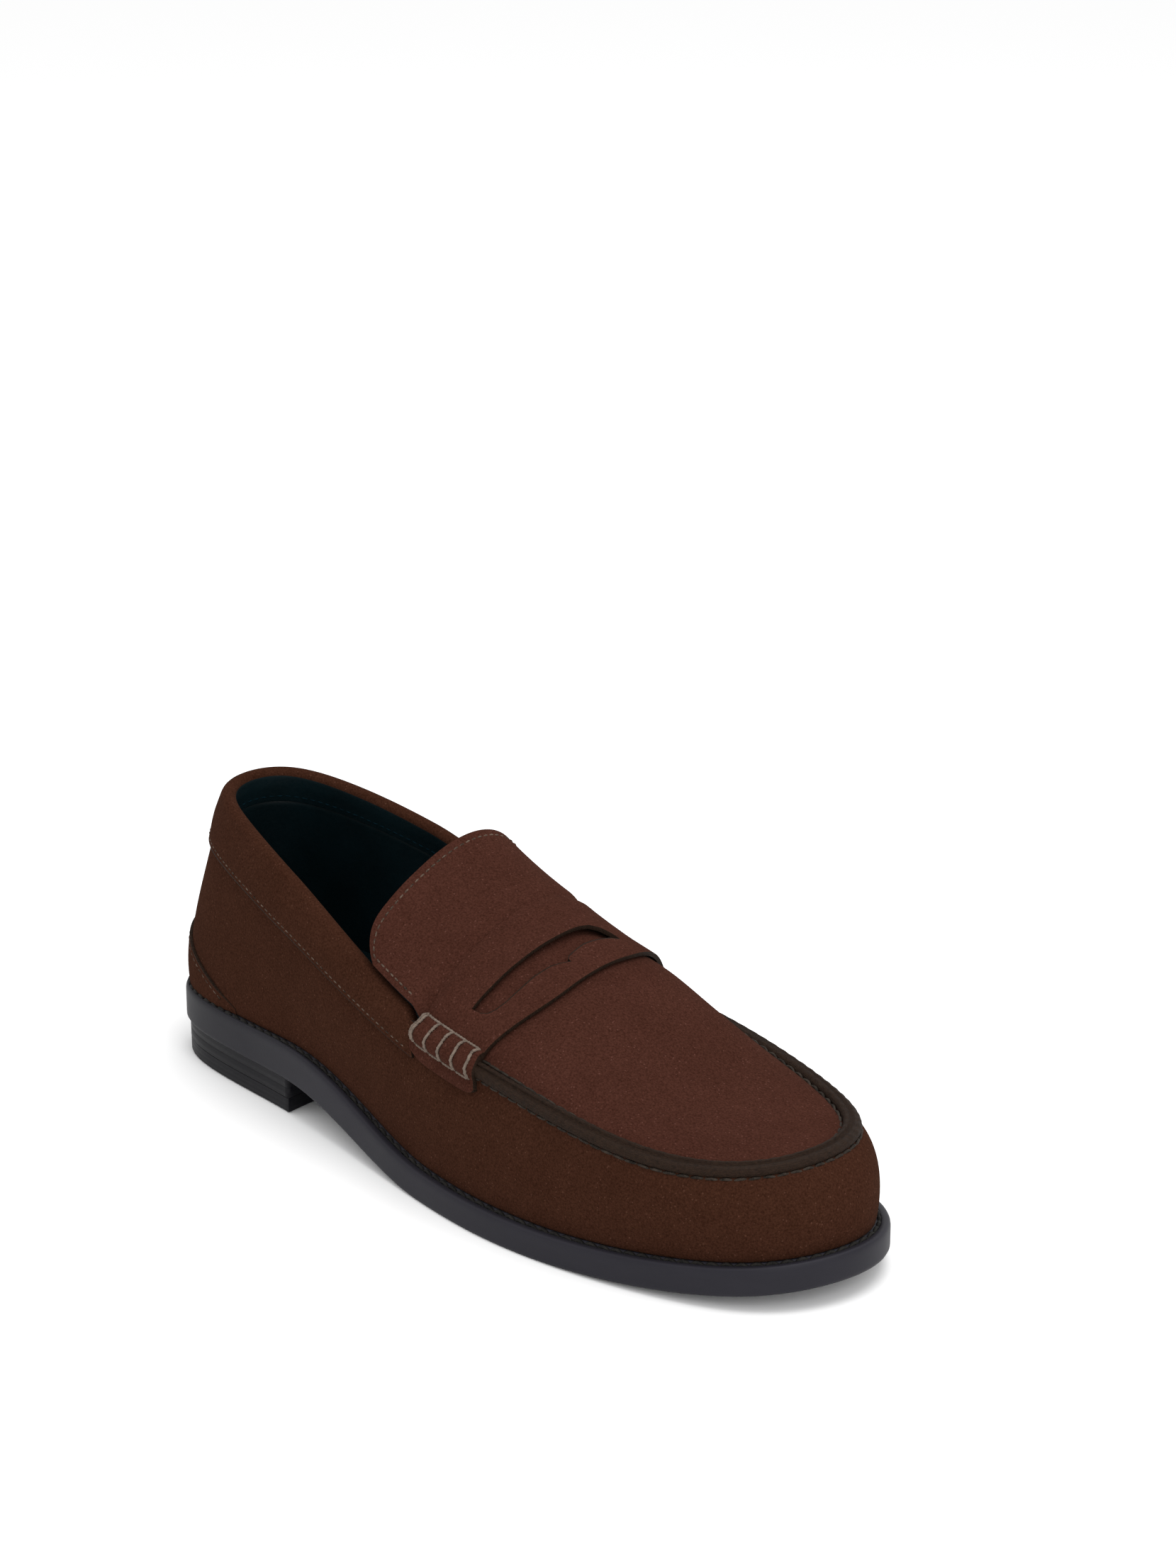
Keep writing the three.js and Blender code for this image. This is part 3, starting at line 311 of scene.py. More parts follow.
def tongue_face(s, t):
    to_side = np.abs(2 * t - 1)
    corner = np.where(t < 0.5, 4.0, 8.0) * np.clip((to_side - 0.6) / 0.4, 0, None) ** 2.5
    root = 2.5 - 1.2 * smoothstep(to_side, 0.5, 0.95)
    place = lerp(root, corner - TONGUE_LENGTH, s)
    x = along(place)
    risen = 1 - smoothstep(place, COLLAR_FRONT - 0.5, -0.3)
    inset = lerp(APRON_INSET, 1.0, risen)
    lift = TONGUE_RAISE * risen
    return arch(rim(station_at(x), inset, lift), rim(station_at(x, True), inset, lift), 1 - t, lift)


def over_apron(u, distance, height):
    """A point by the apron's edge: a distance in along the apron, and a height off it."""
    edge = rim(u, APRON_INSET)
    s = shoulders_at(edge[..., 0])
    inner = np.asarray(u)[..., None] > TOE
    inward = np.where(inner, s[..., 2:3], s[..., 0:1])
    upward = np.where(inner, s[..., 3:4], s[..., 1:2])
    out, up = outward_at(u), np.array([0, 0, 1.0])
    lean, face = unit(-out * inward + up * upward), unit(out * upward + up * inward)
    return edge + lean * np.asarray(distance, float)[..., None] + face * np.asarray(height, float)[..., None]


# ---------- meshes ----------


def new_piece(name, points, faces, finishes, slots=None, runs=None):
    """A mesh object of points in millimetres, with its finishes, a finish number for each face and a laid-out map."""
    mesh = bpy.data.meshes.new(name)
    mesh.from_pydata((np.asarray(points).reshape(-1, 3) * MM).tolist(), [], faces)
    for finish in finishes:
        mesh.materials.append(finish)
    if slots is not None:
        mesh.polygons.foreach_set("material_index", np.asarray(slots, np.int32))
    if runs is not None:
        layer = mesh.uv_layers.new(name="Lay")
        corner = np.zeros(len(mesh.loops), np.int32)
        mesh.loops.foreach_get("vertex_index", corner)
        layer.data.foreach_set("uv", np.asarray(runs, np.float32).reshape(-1, 2)[corner].ravel())
    mesh.validate()
    shaped = bmesh.new()
    shaped.from_mesh(mesh)
    bmesh.ops.remove_doubles(shaped, verts=shaped.verts, dist=1e-7)
    bmesh.ops.dissolve_degenerate(shaped, edges=shaped.edges, dist=1e-7)
    bmesh.ops.recalc_face_normals(shaped, faces=shaped.faces)
    if shaped.calc_volume(signed=True) < 0:
        bmesh.ops.reverse_faces(shaped, faces=shaped.faces)
    shaped.to_mesh(mesh)
    shaped.free()
    mesh.polygons.foreach_set("use_smooth", np.ones(len(mesh.polygons), bool))
    mesh.update()
    piece = bpy.data.objects.new(name, mesh)
    bpy.context.scene.collection.objects.link(piece)
    return piece


def round_edges(piece, width, segments=2, angle=38):
    bevel = piece.modifiers.new("rounded edges", "BEVEL")
    bevel.width = width * MM
    bevel.segments = segments
    bevel.limit_method = "ANGLE"
    bevel.angle_limit = math.radians(angle)
    bevel.harden_normals = False
    return piece


def grid_faces(rows, columns, start=0):
    index = start + np.arange(rows * columns).reshape(rows, columns)
    return np.stack([index[:-1, :-1], index[1:, :-1], index[1:, 1:], index[:-1, 1:]], -1).reshape(-1, 4)


def leather_sheet(name, low, high, finishes, front=0, edge=1, back=1, paint=None):
    """A closed sheet between two grids of points: high is its face side and low its back, with cut edges between.
    paint holds a finish number for each face of the face side, where they differ."""
    rows, columns = high.shape[:2]
    count = rows * columns
    face, under = grid_faces(rows, columns), grid_faces(rows, columns, count)[:, ::-1]
    index = np.arange(count).reshape(rows, columns)
    loop = np.concatenate([index[0, :-1], index[:-1, -1], index[-1, :0:-1], index[:0:-1, 0]])
    after = np.roll(loop, -1)
    sides = np.stack([after, loop, loop + count, after + count], 1)
    faces = np.concatenate([face, under, sides]).tolist()
    shown = [front] * len(face) if paint is None else paint.ravel().tolist()
    slots = shown + [back] * len(under) + [edge] * len(sides)
    down = np.concatenate([np.zeros((1, columns)), np.cumsum(np.linalg.norm(np.diff(high, axis=0), axis=2), 0)])
    right = np.concatenate([np.zeros((rows, 1)), np.cumsum(np.linalg.norm(np.diff(high, axis=1), axis=2), 1)], 1)
    runs = np.stack([down, right], -1).reshape(-1, 2) * 0.01
    return new_piece(name, np.concatenate([high.reshape(-1, 3), low.reshape(-1, 3)]), faces, finishes, slots,
                     np.concatenate([runs, runs]))


def bar(name, rings, finish_used):
    """A bar through rings of points, shaped (steps, corners, 3), with a cap at each end."""
    steps, corners = rings.shape[:2]
    index = np.arange(steps * corners).reshape(steps, corners)
    ring = np.concatenate([index, index[:, :1]], 1)
    faces = np.stack([ring[:-1, :-1], ring[1:, :-1], ring[1:, 1:], ring[:-1, 1:]], -1).reshape(-1, 4).tolist()
    faces += [index[0].tolist(), index[-1, ::-1].tolist()]
    run = np.concatenate([[0], np.cumsum(np.linalg.norm(np.diff(rings[:, 0], axis=0), axis=1))]) * 0.01
    round_run = np.concatenate([[0], np.cumsum(np.linalg.norm(np.diff(rings[0], axis=0), axis=1))]) * 0.01
    return new_piece(name, rings, faces, [finish_used], runs=np.stack(np.meshgrid(run, round_run, indexing="ij"), -1))


def plate(name, tiers, finishes, slots, steps=480, rungs=40):
    """A plate inside the sole's outline, from the bottom inside to the top inside. Each tier has its inset, a number
    or a function of the station, and its height, a function of the place along the shoe. Slots are the finish numbers
    of the bands between tiers."""
    u = np.linspace(0, TURN, steps, endpoint=False)
    rings, faces, numbers = [], [], []
    for inset, height in tiers:
        ring = sole_edge(u, inset(u) if callable(inset) else np.full(steps, inset))
        rings.append(with_z(ring, height(ring[..., 0])))
    index = np.arange(len(tiers) * steps).reshape(len(tiers), steps)
    for k in range(len(tiers) - 1):
        low, high = index[k], index[k + 1]
        faces.append(np.stack([low, np.roll(low, -1), np.roll(high, -1), high], 1))
        numbers += [slots[k]] * steps
    points, start, half = [np.concatenate(rings)], len(tiers) * steps, steps // 2
    t = np.linspace(0, 1, rungs + 1)[None, :, None]
    for k in (0, len(tiers) - 1):
        near, far = rings[k][: half + 1], rings[k][np.r_[0, np.arange(steps - 1, half - 1, -1)]]
        cap = lerp(near[:, None], far[:, None], t)
        cap = with_z(cap, tiers[k][1](cap[..., 0]))
        points.append(cap.reshape(-1, 3))
        grid = grid_faces(half + 1, rungs + 1, start)
        faces.append(grid if k else grid[:, ::-1])
        numbers += [slots[0 if k == 0 else -1]] * len(grid)
        start += (half + 1) * (rungs + 1)
    return new_piece(name, np.concatenate(points), np.concatenate(faces).tolist(), finishes, numbers)


def settle(piece, body, *nodes, slot=None):
    """Rides a piece on a body, and lets it stand for the frame's nodes."""
    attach(piece, body)
    if nodes:
        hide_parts(*nodes)
    return piece


# ---------- shader groups ----------


def add(tree, kind, inputs=None, **settings):
    made = tree.nodes.new(kind)
    for key, value in settings.items():
        setattr(made, key, value)
    for key, value in (inputs or {}).items():
        if isinstance(value, bpy.types.NodeSocket):
            tree.links.new(value, made.inputs[key])
        else:
            made.inputs[key].default_value = value
    return made


def shader_group(name, inputs, outputs):
    """A new shader group with its sockets, and its input and output nodes."""
    group = bpy.data.node_groups.new(name, "ShaderNodeTree")
    kinds = {"colour": "NodeSocketColor", "value": "NodeSocketFloat"}
    for socket, kind, default in inputs:
        made = group.interface.new_socket(name=socket, in_out="INPUT", socket_type=kinds[kind])
        made.default_value = default
    for socket, kind in outputs:
        group.interface.new_socket(name=socket, in_out="OUTPUT", socket_type=kinds[kind])
    return group, group.nodes.new("NodeGroupInput"), group.nodes.new("NodeGroupOutput")


def math_node(tree, operation, a, b=0.0):
    return add(tree, "ShaderNodeMath", {0: a, 1: b}, operation=operation).outputs[0]


def scaled(tree, value, gain, base=0.0):
    """A value times a gain, plus a base."""
    return math_node(tree, "ADD", math_node(tree, "MULTIPLY", value, gain), base)


def blended(tree, a, b, share):
    """Two values mixed: a share of the first, and the rest of the second."""
    return math_node(tree, "ADD", math_node(tree, "MULTIPLY", a, share), math_node(tree, "MULTIPLY", b, 1.0 - share))


def mix_colour(tree, factor, a, b, blend="MIX"):
    return add(tree, "ShaderNodeMix", {0: factor, 6: a, 7: b}, data_type="RGBA", blend_type=blend).outputs[2]


def tinted(tree, base, tint):
    """A colour times a tint, channel by channel."""
    return mix_colour(tree, 1.0, base, (*tint, 1), "MULTIPLY")


def spread(tree, value, low, high):
    """A value spread so that low becomes 0 and high becomes 1."""
    made = add(tree, "ShaderNodeMapRange", {"Value": value, "From Min": low, "From Max": high}, clamp=True)
    return made.outputs["Result"]


def noise(tree, vector, scale, detail=3.0, roughness=0.55):
    return add(tree, "ShaderNodeTexNoise", {"Vector": vector, "Scale": scale, "Detail": detail,
                                           "Roughness": roughness}).outputs["Fac"]


def stretched(tree, vector, scale):
    return add(tree, "ShaderNodeMapping", {"Vector": vector, "Scale": scale}).outputs["Vector"]


def put(group, outside, colour_out, roughness, height):
    """Joins a group's three results to its output node."""
    for socket, value in (("Colour", colour_out), ("Roughness", roughness), ("Height", height)):
        group.links.new(value, outside.inputs[socket])


SURFACE = [("Colour", "colour"), ("Roughness", "value"), ("Height", "value")]


def make_suede_nap():
    """Brushed nap: short fibres, cloudy shading where the nap lies differently, and a few pale specks."""
    group, inside, outside = shader_group(
        "suede_nap",
        [("Colour", "colour", (0.1, 0.05, 0.03, 1)), ("Cloud", "value", 0.25), ("Nap Scale", "value", 1500.0),
         ("Specks", "value", 0.3), ("Crease", "value", 0.0)], SURFACE)
    given = inside.outputs
    where = add(group, "ShaderNodeTexCoord").outputs["Object"]
    nap = noise(group, where, given["Nap Scale"], 4.0, 0.7)
    tufts = noise(group, where, 520.0, 3.0, 0.6)
    cloud = noise(group, where, 34.0, 4.0, 0.55)
    drift = noise(group, where, 130.0, 2.0, 0.5)
    shade = blended(group, spread(group, cloud, 0.3, 0.7), spread(group, drift, 0.3, 0.7), 0.6)
    dark = tinted(group, given["Colour"], (0.62, 0.58, 0.55))
    light = tinted(group, given["Colour"], (1.35, 1.38, 1.42))
    base = mix_colour(group, given["Cloud"], given["Colour"], mix_colour(group, shade, dark, light))
    fibres = mix_colour(group, spread(group, nap, 0.3, 0.7), tinted(group, base, (0.55, 0.5, 0.47)),
                        tinted(group, base, (1.42, 1.46, 1.5)))
    speck = add(group, "ShaderNodeTexVoronoi", {"Vector": where, "Scale": 1150.0}, feature="F1")
    keep = add(group, "ShaderNodeTexWhiteNoise", {"Vector": speck.outputs["Position"]}, noise_dimensions="3D")
    rare = math_node(group, "GREATER_THAN", keep.outputs["Value"], 0.93)
    dot = math_node(group, "LESS_THAN", speck.outputs["Distance"], 0.3)
    speckled = math_node(group, "MULTIPLY", math_node(group, "MULTIPLY", rare, dot), given["Specks"])
    across_line = stretched(group, where, (1.0, 0.16, 0.45))
    folds = math_node(group, "MULTIPLY", noise(group, across_line, 120.0, 2.0, 0.4), given["Crease"])
    put(group, outside, mix_colour(group, speckled, fibres, tinted(group, base, (3.2, 3.9, 4.6))),
        scaled(group, nap, 0.12, 0.84), math_node(group, "ADD", blended(group, nap, tufts, 0.5), folds))
    return group


def make_cut_leather():
    """The raw edge of leather: dark, with strands that run along the cut."""
    group, inside, outside = shader_group(
        "cut_leather",
        [("Colour", "colour", (0.02, 0.015, 0.01, 1)), ("Pale Colour", "colour", (0.06, 0.045, 0.035, 1)),
         ("Strands", "value", 60.0)], SURFACE)
    given = inside.outputs
    lay = add(group, "ShaderNodeUVMap", uv_map="Lay").outputs["UV"]
    where = add(group, "ShaderNodeTexCoord").outputs["Object"]
    strands = noise(group, stretched(group, lay, (1.0, 9.0, 1.0)), given["Strands"], 4.0, 0.65)
    grit = noise(group, where, 900.0, 3.0, 0.6)
    mask = spread(group, blended(group, strands, grit, 0.65), 0.36, 0.68)
    put(group, outside, mix_colour(group, mask, given["Colour"], given["Pale Colour"]),
        scaled(group, grit, 0.2, 0.6), mask)
    return group


def make_rubber_skin():
    """Moulded rubber: a fine matt grain, faint drag marks and a little dust, with painted shade that darkens it
    towards the back of the heel.
    Layers adds the fine level lines of a stacked heel."""
    layer_height = 0.0017
    group, inside, outside = shader_group(
        "rubber_skin",
        [("Colour", "colour", (0.03, 0.03, 0.035, 1)), ("Dust", "value", 0.2), ("Layers", "value", 0.0)], SURFACE)
    given = inside.outputs
    where = add(group, "ShaderNodeTexCoord").outputs["Object"]
    grain = noise(group, where, 1300.0, 3.0, 0.6)
    smear = noise(group, stretched(group, where, (0.3, 0.3, 1.6)), 160.0, 3.0, 0.5)
    cloud = noise(group, where, 40.0, 3.0, 0.5)
    amount = math_node(group, "MULTIPLY", spread(group, smear, 0.35, 0.75), given["Dust"])
    shade = mix_colour(group, amount, given["Colour"], tinted(group, given["Colour"], (1.5, 1.48, 1.44)))
    clouded = mix_colour(group, spread(group, cloud, 0.3, 0.7), tinted(group, shade, (0.82, 0.82, 0.84)), shade)
    place = add(group, "ShaderNodeSeparateXYZ", {"Vector": where}).outputs
    lines = math_node(group, "SINE", math_node(group, "MULTIPLY", place["Z"], 2 * math.pi / layer_height))
    # the first colour carries painted shade: the rubber darkens to 0.6 from X = -0.05 m to X = -0.13 m, towards the
    # back of the heel
    put(group, outside,
        mix_colour(group, spread(group, place["X"], -0.05, -0.13), clouded, tinted(group, clouded, (0.6, 0.6, 0.6))),
        scaled(group, cloud, 0.2, 0.42),
        math_node(group, "ADD", grain, math_node(group, "MULTIPLY", lines, given["Layers"])))
    return group


def make_pebble_grain():
    """Smooth lining leather: small pebbles with fine creases between them."""
    group, inside, outside = shader_group(
        "pebble_grain",
        [("Colour", "colour", (0.003, 0.01, 0.012, 1)), ("Pebble Scale", "value", 900.0)], SURFACE)
    given = inside.outputs
    where = add(group, "ShaderNodeTexCoord").outputs["Object"]
    pebbles = add(group, "ShaderNodeTexVoronoi", {"Vector": where, "Scale": given["Pebble Scale"]},
                  feature="SMOOTH_F1").outputs["Distance"]
    cloud = noise(group, where, 60.0, 3.0, 0.5)
    worn = tinted(group, given["Colour"], (1.7, 1.6, 1.6))
    put(group, outside, mix_colour(group, spread(group, cloud, 0.35, 0.75), given["Colour"], worn),
        scaled(group, pebbles, 0.25, 0.42), math_node(group, "SUBTRACT", 1.0, pebbles))
    return group


def make_thread_twist():
    """Waxed thread: pale fluff and darker patches along it. The pale colour is partly painted highlight: on the
    stitch threads it stands for glints.
    """
    group, inside, outside = shader_group(
        "thread_twist",
        [("Colour", "colour", (0.2, 0.16, 0.13, 1)), ("Pale Colour", "colour", (0.4, 0.35, 0.3, 1))], SURFACE)
    given = inside.outputs
    where = add(group, "ShaderNodeTexCoord").outputs["Object"]
    fluff = noise(group, where, 2600.0, 3.0, 0.65)
    patch = noise(group, where, 420.0, 2.0, 0.5)
    # where this mask is high the thread takes its pale colour: partly fluff, partly painted highlight
    mask = spread(group, blended(group, fluff, patch, 0.5), 0.36, 0.64)
    put(group, outside, mix_colour(group, mask, given["Colour"], given["Pale Colour"]),
        scaled(group, fluff, 0.3, 0.5), fluff)
    return group


GROUP_MAKERS = {
    "suede_nap": make_suede_nap,
    "cut_leather": make_cut_leather,
    "rubber_skin": make_rubber_skin,
    "pebble_grain": make_pebble_grain,
    "thread_twist": make_thread_twist,
}


def finish(name, group, values, bump, distance, shader=None):
    """A material that feeds one of the shared groups into a shader, with constants on the shader's own sockets."""
    material = bpy.data.materials.get(name)
    if material:
        return material
    material = bpy.data.materials.new(name)
    material.use_nodes = True
    tree = material.node_tree
    principled = tree.nodes["Principled BSDF"]
    shared = tree.nodes.new("ShaderNodeGroup")
    shared.node_tree = bpy.data.node_groups.get(group) or GROUP_MAKERS[group]()
    for key, value in values.items():
        shared.inputs[key].default_value = value
    tree.links.new(shared.outputs["Colour"], principled.inputs["Base Color"])
    tree.links.new(shared.outputs["Roughness"], principled.inputs["Roughness"])
    raised = add(tree, "ShaderNodeBump", {"Height": shared.outputs["Height"], "Strength": bump, "Distance": distance})
    tree.links.new(raised.outputs["Normal"], principled.inputs["Normal"])
    for key, value in (shader or {}).items():
        principled.inputs[key].default_value = value
    return material


def colour(value):
    return (*value[:3], 1.0)


def suede(name, tint, settings, cloud=0.3, crease=0.0):
    return finish(name, "suede_nap",
                  {"Colour": colour(tint), "Cloud": cloud, "Nap Scale": settings.nap_scale, "Specks": settings.specks,
                   "Crease": crease},
                  0.55, 0.0004, {"Sheen Weight": 0.03, "Sheen Roughness": 0.45,
                                 "Sheen Tint": (0.62, 0.42, 0.34, 1.0), "Specular IOR Level": 0.0})


# dark colour, pale colour (partly painted highlight, for glints on the thread), depth of the fluff in metres, gloss
THREADS = {
    "dark thread": ((0.004, 0.004, 0.004), (0.02, 0.018, 0.016), 0.0002, 0.1),
    "ridge thread": ((0.004, 0.003, 0.002), (0.04, 0.03, 0.023), 0.0002, 0.1),
    "fine thread": ((0.005, 0.003, 0.002), (0.13, 0.092, 0.07), 0.0001, 0.03),
    "lining thread": ((0.001, 0.006, 0.009), (0.003, 0.016, 0.024), 0.0001, 0.02),
}


def finishes():
    """The loafer's finishes by name."""
    s = bpy.context.scene.loafer_finish
    edge = colour(s.edge_colour)
    pale = (*[min(1.0, c * 3.4) for c in s.edge_colour], 1.0)
    threads = {name: finish(name, "thread_twist", {"Colour": colour(dark), "Pale Colour": colour(light)}, 0.4,
                            distance, {"Specular IOR Level": gloss})
               for name, (dark, light, distance, gloss) in THREADS.items()}
    return {
        **threads,
        "wall": suede("wall suede", s.wall_colour, s),
        "apron": suede("apron suede", s.apron_colour, s),
        "tongue": suede("tongue suede", s.apron_colour, s, 0.3, 1.2),
        "edge": finish("cut leather edge", "cut_leather", {"Colour": edge, "Pale Colour": pale}, 0.7, 0.0004,
                       {"Specular IOR Level": 0.08}),
        "lining": finish("lining leather", "pebble_grain", {"Colour": colour(s.lining_colour)}, 0.25, 0.0002,
                         {"Specular IOR Level": 0.12}),
        "rubber": finish("sole rubber", "rubber_skin", {"Colour": colour(s.rubber_colour)}, 0.12, 0.0002,
                         {"Specular IOR Level": 0.14}),
        # the heel rubber is 0.42 of the sole's colour: painted shade that darkens the heel block
        "heel": finish("heel rubber", "rubber_skin",
                       {"Colour": colour([c * 0.42 for c in s.rubber_colour]), "Layers": 1.4, "Dust": 0.1}, 0.2,
                       0.0001, {"Specular IOR Level": 0.14}),
        "welt": finish("welt rubber", "rubber_skin", {"Colour": colour([c * 1.15 for c in s.rubber_colour])}, 0.15,
                       0.0002, {"Specular IOR Level": 0.14}),
        "lashing": finish("lashing thread", "thread_twist",
                          {"Colour": colour([c * 0.55 for c in s.lashing_colour]),
                           "Pale Colour": colour(s.lashing_colour)}, 0.5, 0.0003, {"Specular IOR Level": 0.12}),
    }


# ---------- thread, by geometry nodes ----------


def thread_tree(name, defaults, result):
    """A new geometry nodes tree that takes a line, the named numbers and the thread's material, and gives a mesh."""
    tree = bpy.data.node_groups.new(name, "GeometryNodeTree")
    tree.interface.new_socket(name="Line", in_out="INPUT", socket_type="NodeSocketGeometry")
    for label, default in defaults.items():
        kind = "NodeSocketInt" if isinstance(default, int) else "NodeSocketFloat"
        tree.interface.new_socket(name=label, in_out="INPUT", socket_type=kind).default_value = default
    tree.interface.new_socket(name="Thread", in_out="INPUT", socket_type="NodeSocketMaterial")
    tree.interface.new_socket(name=result, in_out="OUTPUT", socket_type="NodeSocketGeometry")
    return tree, tree.nodes.new("NodeGroupInput").outputs, tree.nodes.new("NodeGroupOutput")


def row_tree():
    """A tree that lays one short arched stitch at every pitch along a line, square to the leather."""
    name = "row_of_stitches"
    if name in bpy.data.node_groups:
        return bpy.data.node_groups[name]
    tree, given, outside = thread_tree(name, {"Pitch": 0.003, "Stitch Length": 0.0023, "Thread Radius": 0.0003,
                                              "Arch": 0.0003, "Wander": 0.06, "Seed": 3}, "Stitches")
    line = add(tree, "GeometryNodeMeshToCurve", {"Mesh": given["Line"]})
    spaced = add(tree, "GeometryNodeResampleCurve", {"Curve": line.outputs[0], "Length": given["Pitch"]},
                 mode="LENGTH")
    lay = add(tree, "GeometryNodeInputNamedAttribute", {"Name": "lay"}, data_type="FLOAT_VECTOR")
    tangent = add(tree, "GeometryNodeInputTangent")
    turned = add(tree, "FunctionNodeAxesToRotation", {"Primary Axis": tangent.outputs[0],
                                                      "Secondary Axis": lay.outputs["Attribute"]},
                 primary_axis="X", secondary_axis="Z")
    lower = math_node(tree, "MULTIPLY", given["Wander"], -1.0)
    chance = add(tree, "FunctionNodeRandomValue", {2: lower, 3: given["Wander"], "Seed": given["Seed"]},
                 data_type="FLOAT")
    swing = add(tree, "ShaderNodeCombineXYZ", {"Z": chance.outputs[1]})
    swing = add(tree, "FunctionNodeEulerToRotation", {0: swing.outputs[0]})
    turned = add(tree, "FunctionNodeRotateRotation", {"Rotation": turned.outputs[0], "Rotate By": swing.outputs[0]},
                 rotation_space="LOCAL")
    half = math_node(tree, "MULTIPLY", given["Stitch Length"], 0.5)
    back = math_node(tree, "MULTIPLY", half, -1.0)
    dip = math_node(tree, "MULTIPLY", given["Thread Radius"], -1.3)
    crown = math_node(tree, "MULTIPLY", given["Arch"], 2.0)
    ends = [add(tree, "ShaderNodeCombineXYZ", {"X": x, "Z": dip}).outputs[0] for x in (back, half)]
    top = add(tree, "ShaderNodeCombineXYZ", {"Z": crown}).outputs[0]
    bow = add(tree, "GeometryNodeCurveQuadraticBezier",
              {"Resolution": 6, "Start": ends[0], "Middle": top, "End": ends[1]})
    section = add(tree, "GeometryNodeCurvePrimitiveCircle", {"Resolution": 6, "Radius": given["Thread Radius"]},
                  mode="RADIUS")
    stitch = add(tree, "GeometryNodeCurveToMesh",
                 {"Curve": bow.outputs[0], "Profile Curve": section.outputs[0], "Fill Caps": True})
    laid = add(tree, "GeometryNodeInstanceOnPoints", {"Points": spaced.outputs[0], "Instance": stitch.outputs[0],
                                                     "Rotation": turned.outputs[0]})
    real = add(tree, "GeometryNodeRealizeInstances", {"Geometry": laid.outputs[0]})
    smooth = add(tree, "GeometryNodeSetShadeSmooth", {"Geometry": real.outputs[0], "Shade Smooth": True})
    threaded = add(tree, "GeometryNodeSetMaterial", {"Geometry": smooth.outputs[0], "Material": given["Thread"]})
    tree.links.new(threaded.outputs[0], outside.inputs[0])
    return tree


def cord_tree():
    """A tree that sweeps a plied thread along each line, its lobes twisting as they run."""
    name = "plied_thread"
    if name in bpy.data.node_groups:
        return bpy.data.node_groups[name]
    tree, given, outside = thread_tree(name, {"Thread Radius": 0.0006, "Twist Length": 0.0035, "Plies": 3}, "Threads")
    line = add(tree, "GeometryNodeMeshToCurve", {"Mesh": given["Line"]})
    run = add(tree, "GeometryNodeSplineParameter").outputs["Length"]
    turns = math_node(tree, "DIVIDE", run, given["Twist Length"])
    angle = math_node(tree, "MULTIPLY", turns, 2 * math.pi)
    tilted = add(tree, "GeometryNodeSetCurveTilt", {"Curve": line.outputs[0], "Tilt": angle})
    groove = math_node(tree, "MULTIPLY", given["Thread Radius"], 0.74)
    section = add(tree, "GeometryNodeCurveStar", {"Points": given["Plies"], "Inner Radius": groove,
                                                 "Outer Radius": given["Thread Radius"]})
    swept = add(tree, "GeometryNodeCurveToMesh",
                {"Curve": tilted.outputs[0], "Profile Curve": section.outputs[0], "Fill Caps": True})
    smooth = add(tree, "GeometryNodeSetShadeSmooth", {"Geometry": swept.outputs[0], "Shade Smooth": True})
    real = add(tree, "GeometryNodeRealizeInstances", {"Geometry": smooth.outputs[0]})
    threaded = add(tree, "GeometryNodeSetMaterial", {"Geometry": real.outputs[0], "Material": given["Thread"]})
    tree.links.new(threaded.outputs[0], outside.inputs[0])
    return tree


def thread_piece(name, tree, lines, values):
    """Runs a thread tree over lines, each of (points, lay directions, closed), and keeps the result as a mesh."""
    points, lays, edges, start = [], [], [], 0
    for line, lay, closed in lines:
        count = len(line)
        points.append(line * MM)
        lays.append(lay)
        edges += [(start + i, start + i + 1) for i in range(count - 1)]
        if closed:
            edges.append((start + count - 1, start))
        start += count
    guide_mesh = bpy.data.meshes.new(name + "_line")
    guide_mesh.from_pydata(np.concatenate(points).tolist(), edges, [])
    attribute = guide_mesh.attributes.new("lay", "FLOAT_VECTOR", "POINT")
    attribute.data.foreach_set("vector", np.concatenate(lays).astype(np.float32).ravel())
    guide = bpy.data.objects.new(name + "_line", guide_mesh)
    bpy.context.scene.collection.objects.link(guide)
    modifier = guide.modifiers.new("thread", "NODES")
    modifier.node_group = tree
    sockets = {item.name: item.identifier for item in tree.interface.items_tree if item.in_out == "INPUT"}
    for key, value in values.items():
        modifier[sockets[key]] = value
    bpy.context.view_layer.update()
    graph = bpy.context.evaluated_depsgraph_get()
    mesh = bpy.data.meshes.new_from_object(guide.evaluated_get(graph))
    mesh.name = name
    bpy.data.objects.remove(guide)
    bpy.data.meshes.remove(guide_mesh)
    shaped = bmesh.new()
    shaped.from_mesh(mesh)
    bmesh.ops.remove_doubles(shaped, verts=shaped.verts, dist=1e-8)
    bmesh.ops.recalc_face_normals(shaped, faces=shaped.faces)
    shaped.to_mesh(mesh)
    shaped.free()
    piece = bpy.data.objects.new(name, mesh)
    bpy.context.scene.collection.objects.link(piece)
    return piece


def line_on(place, count, low, high, raised=0.0, closed=False):
    """Points and lay directions along a line on a surface: place(parameter, out) gives a point off the leather."""
    parameter = np.linspace(low, high, count, endpoint=not closed)
    ground, above = place(parameter, raised), place(parameter, raised + 1.0)
    return ground, unit(above - ground), closed


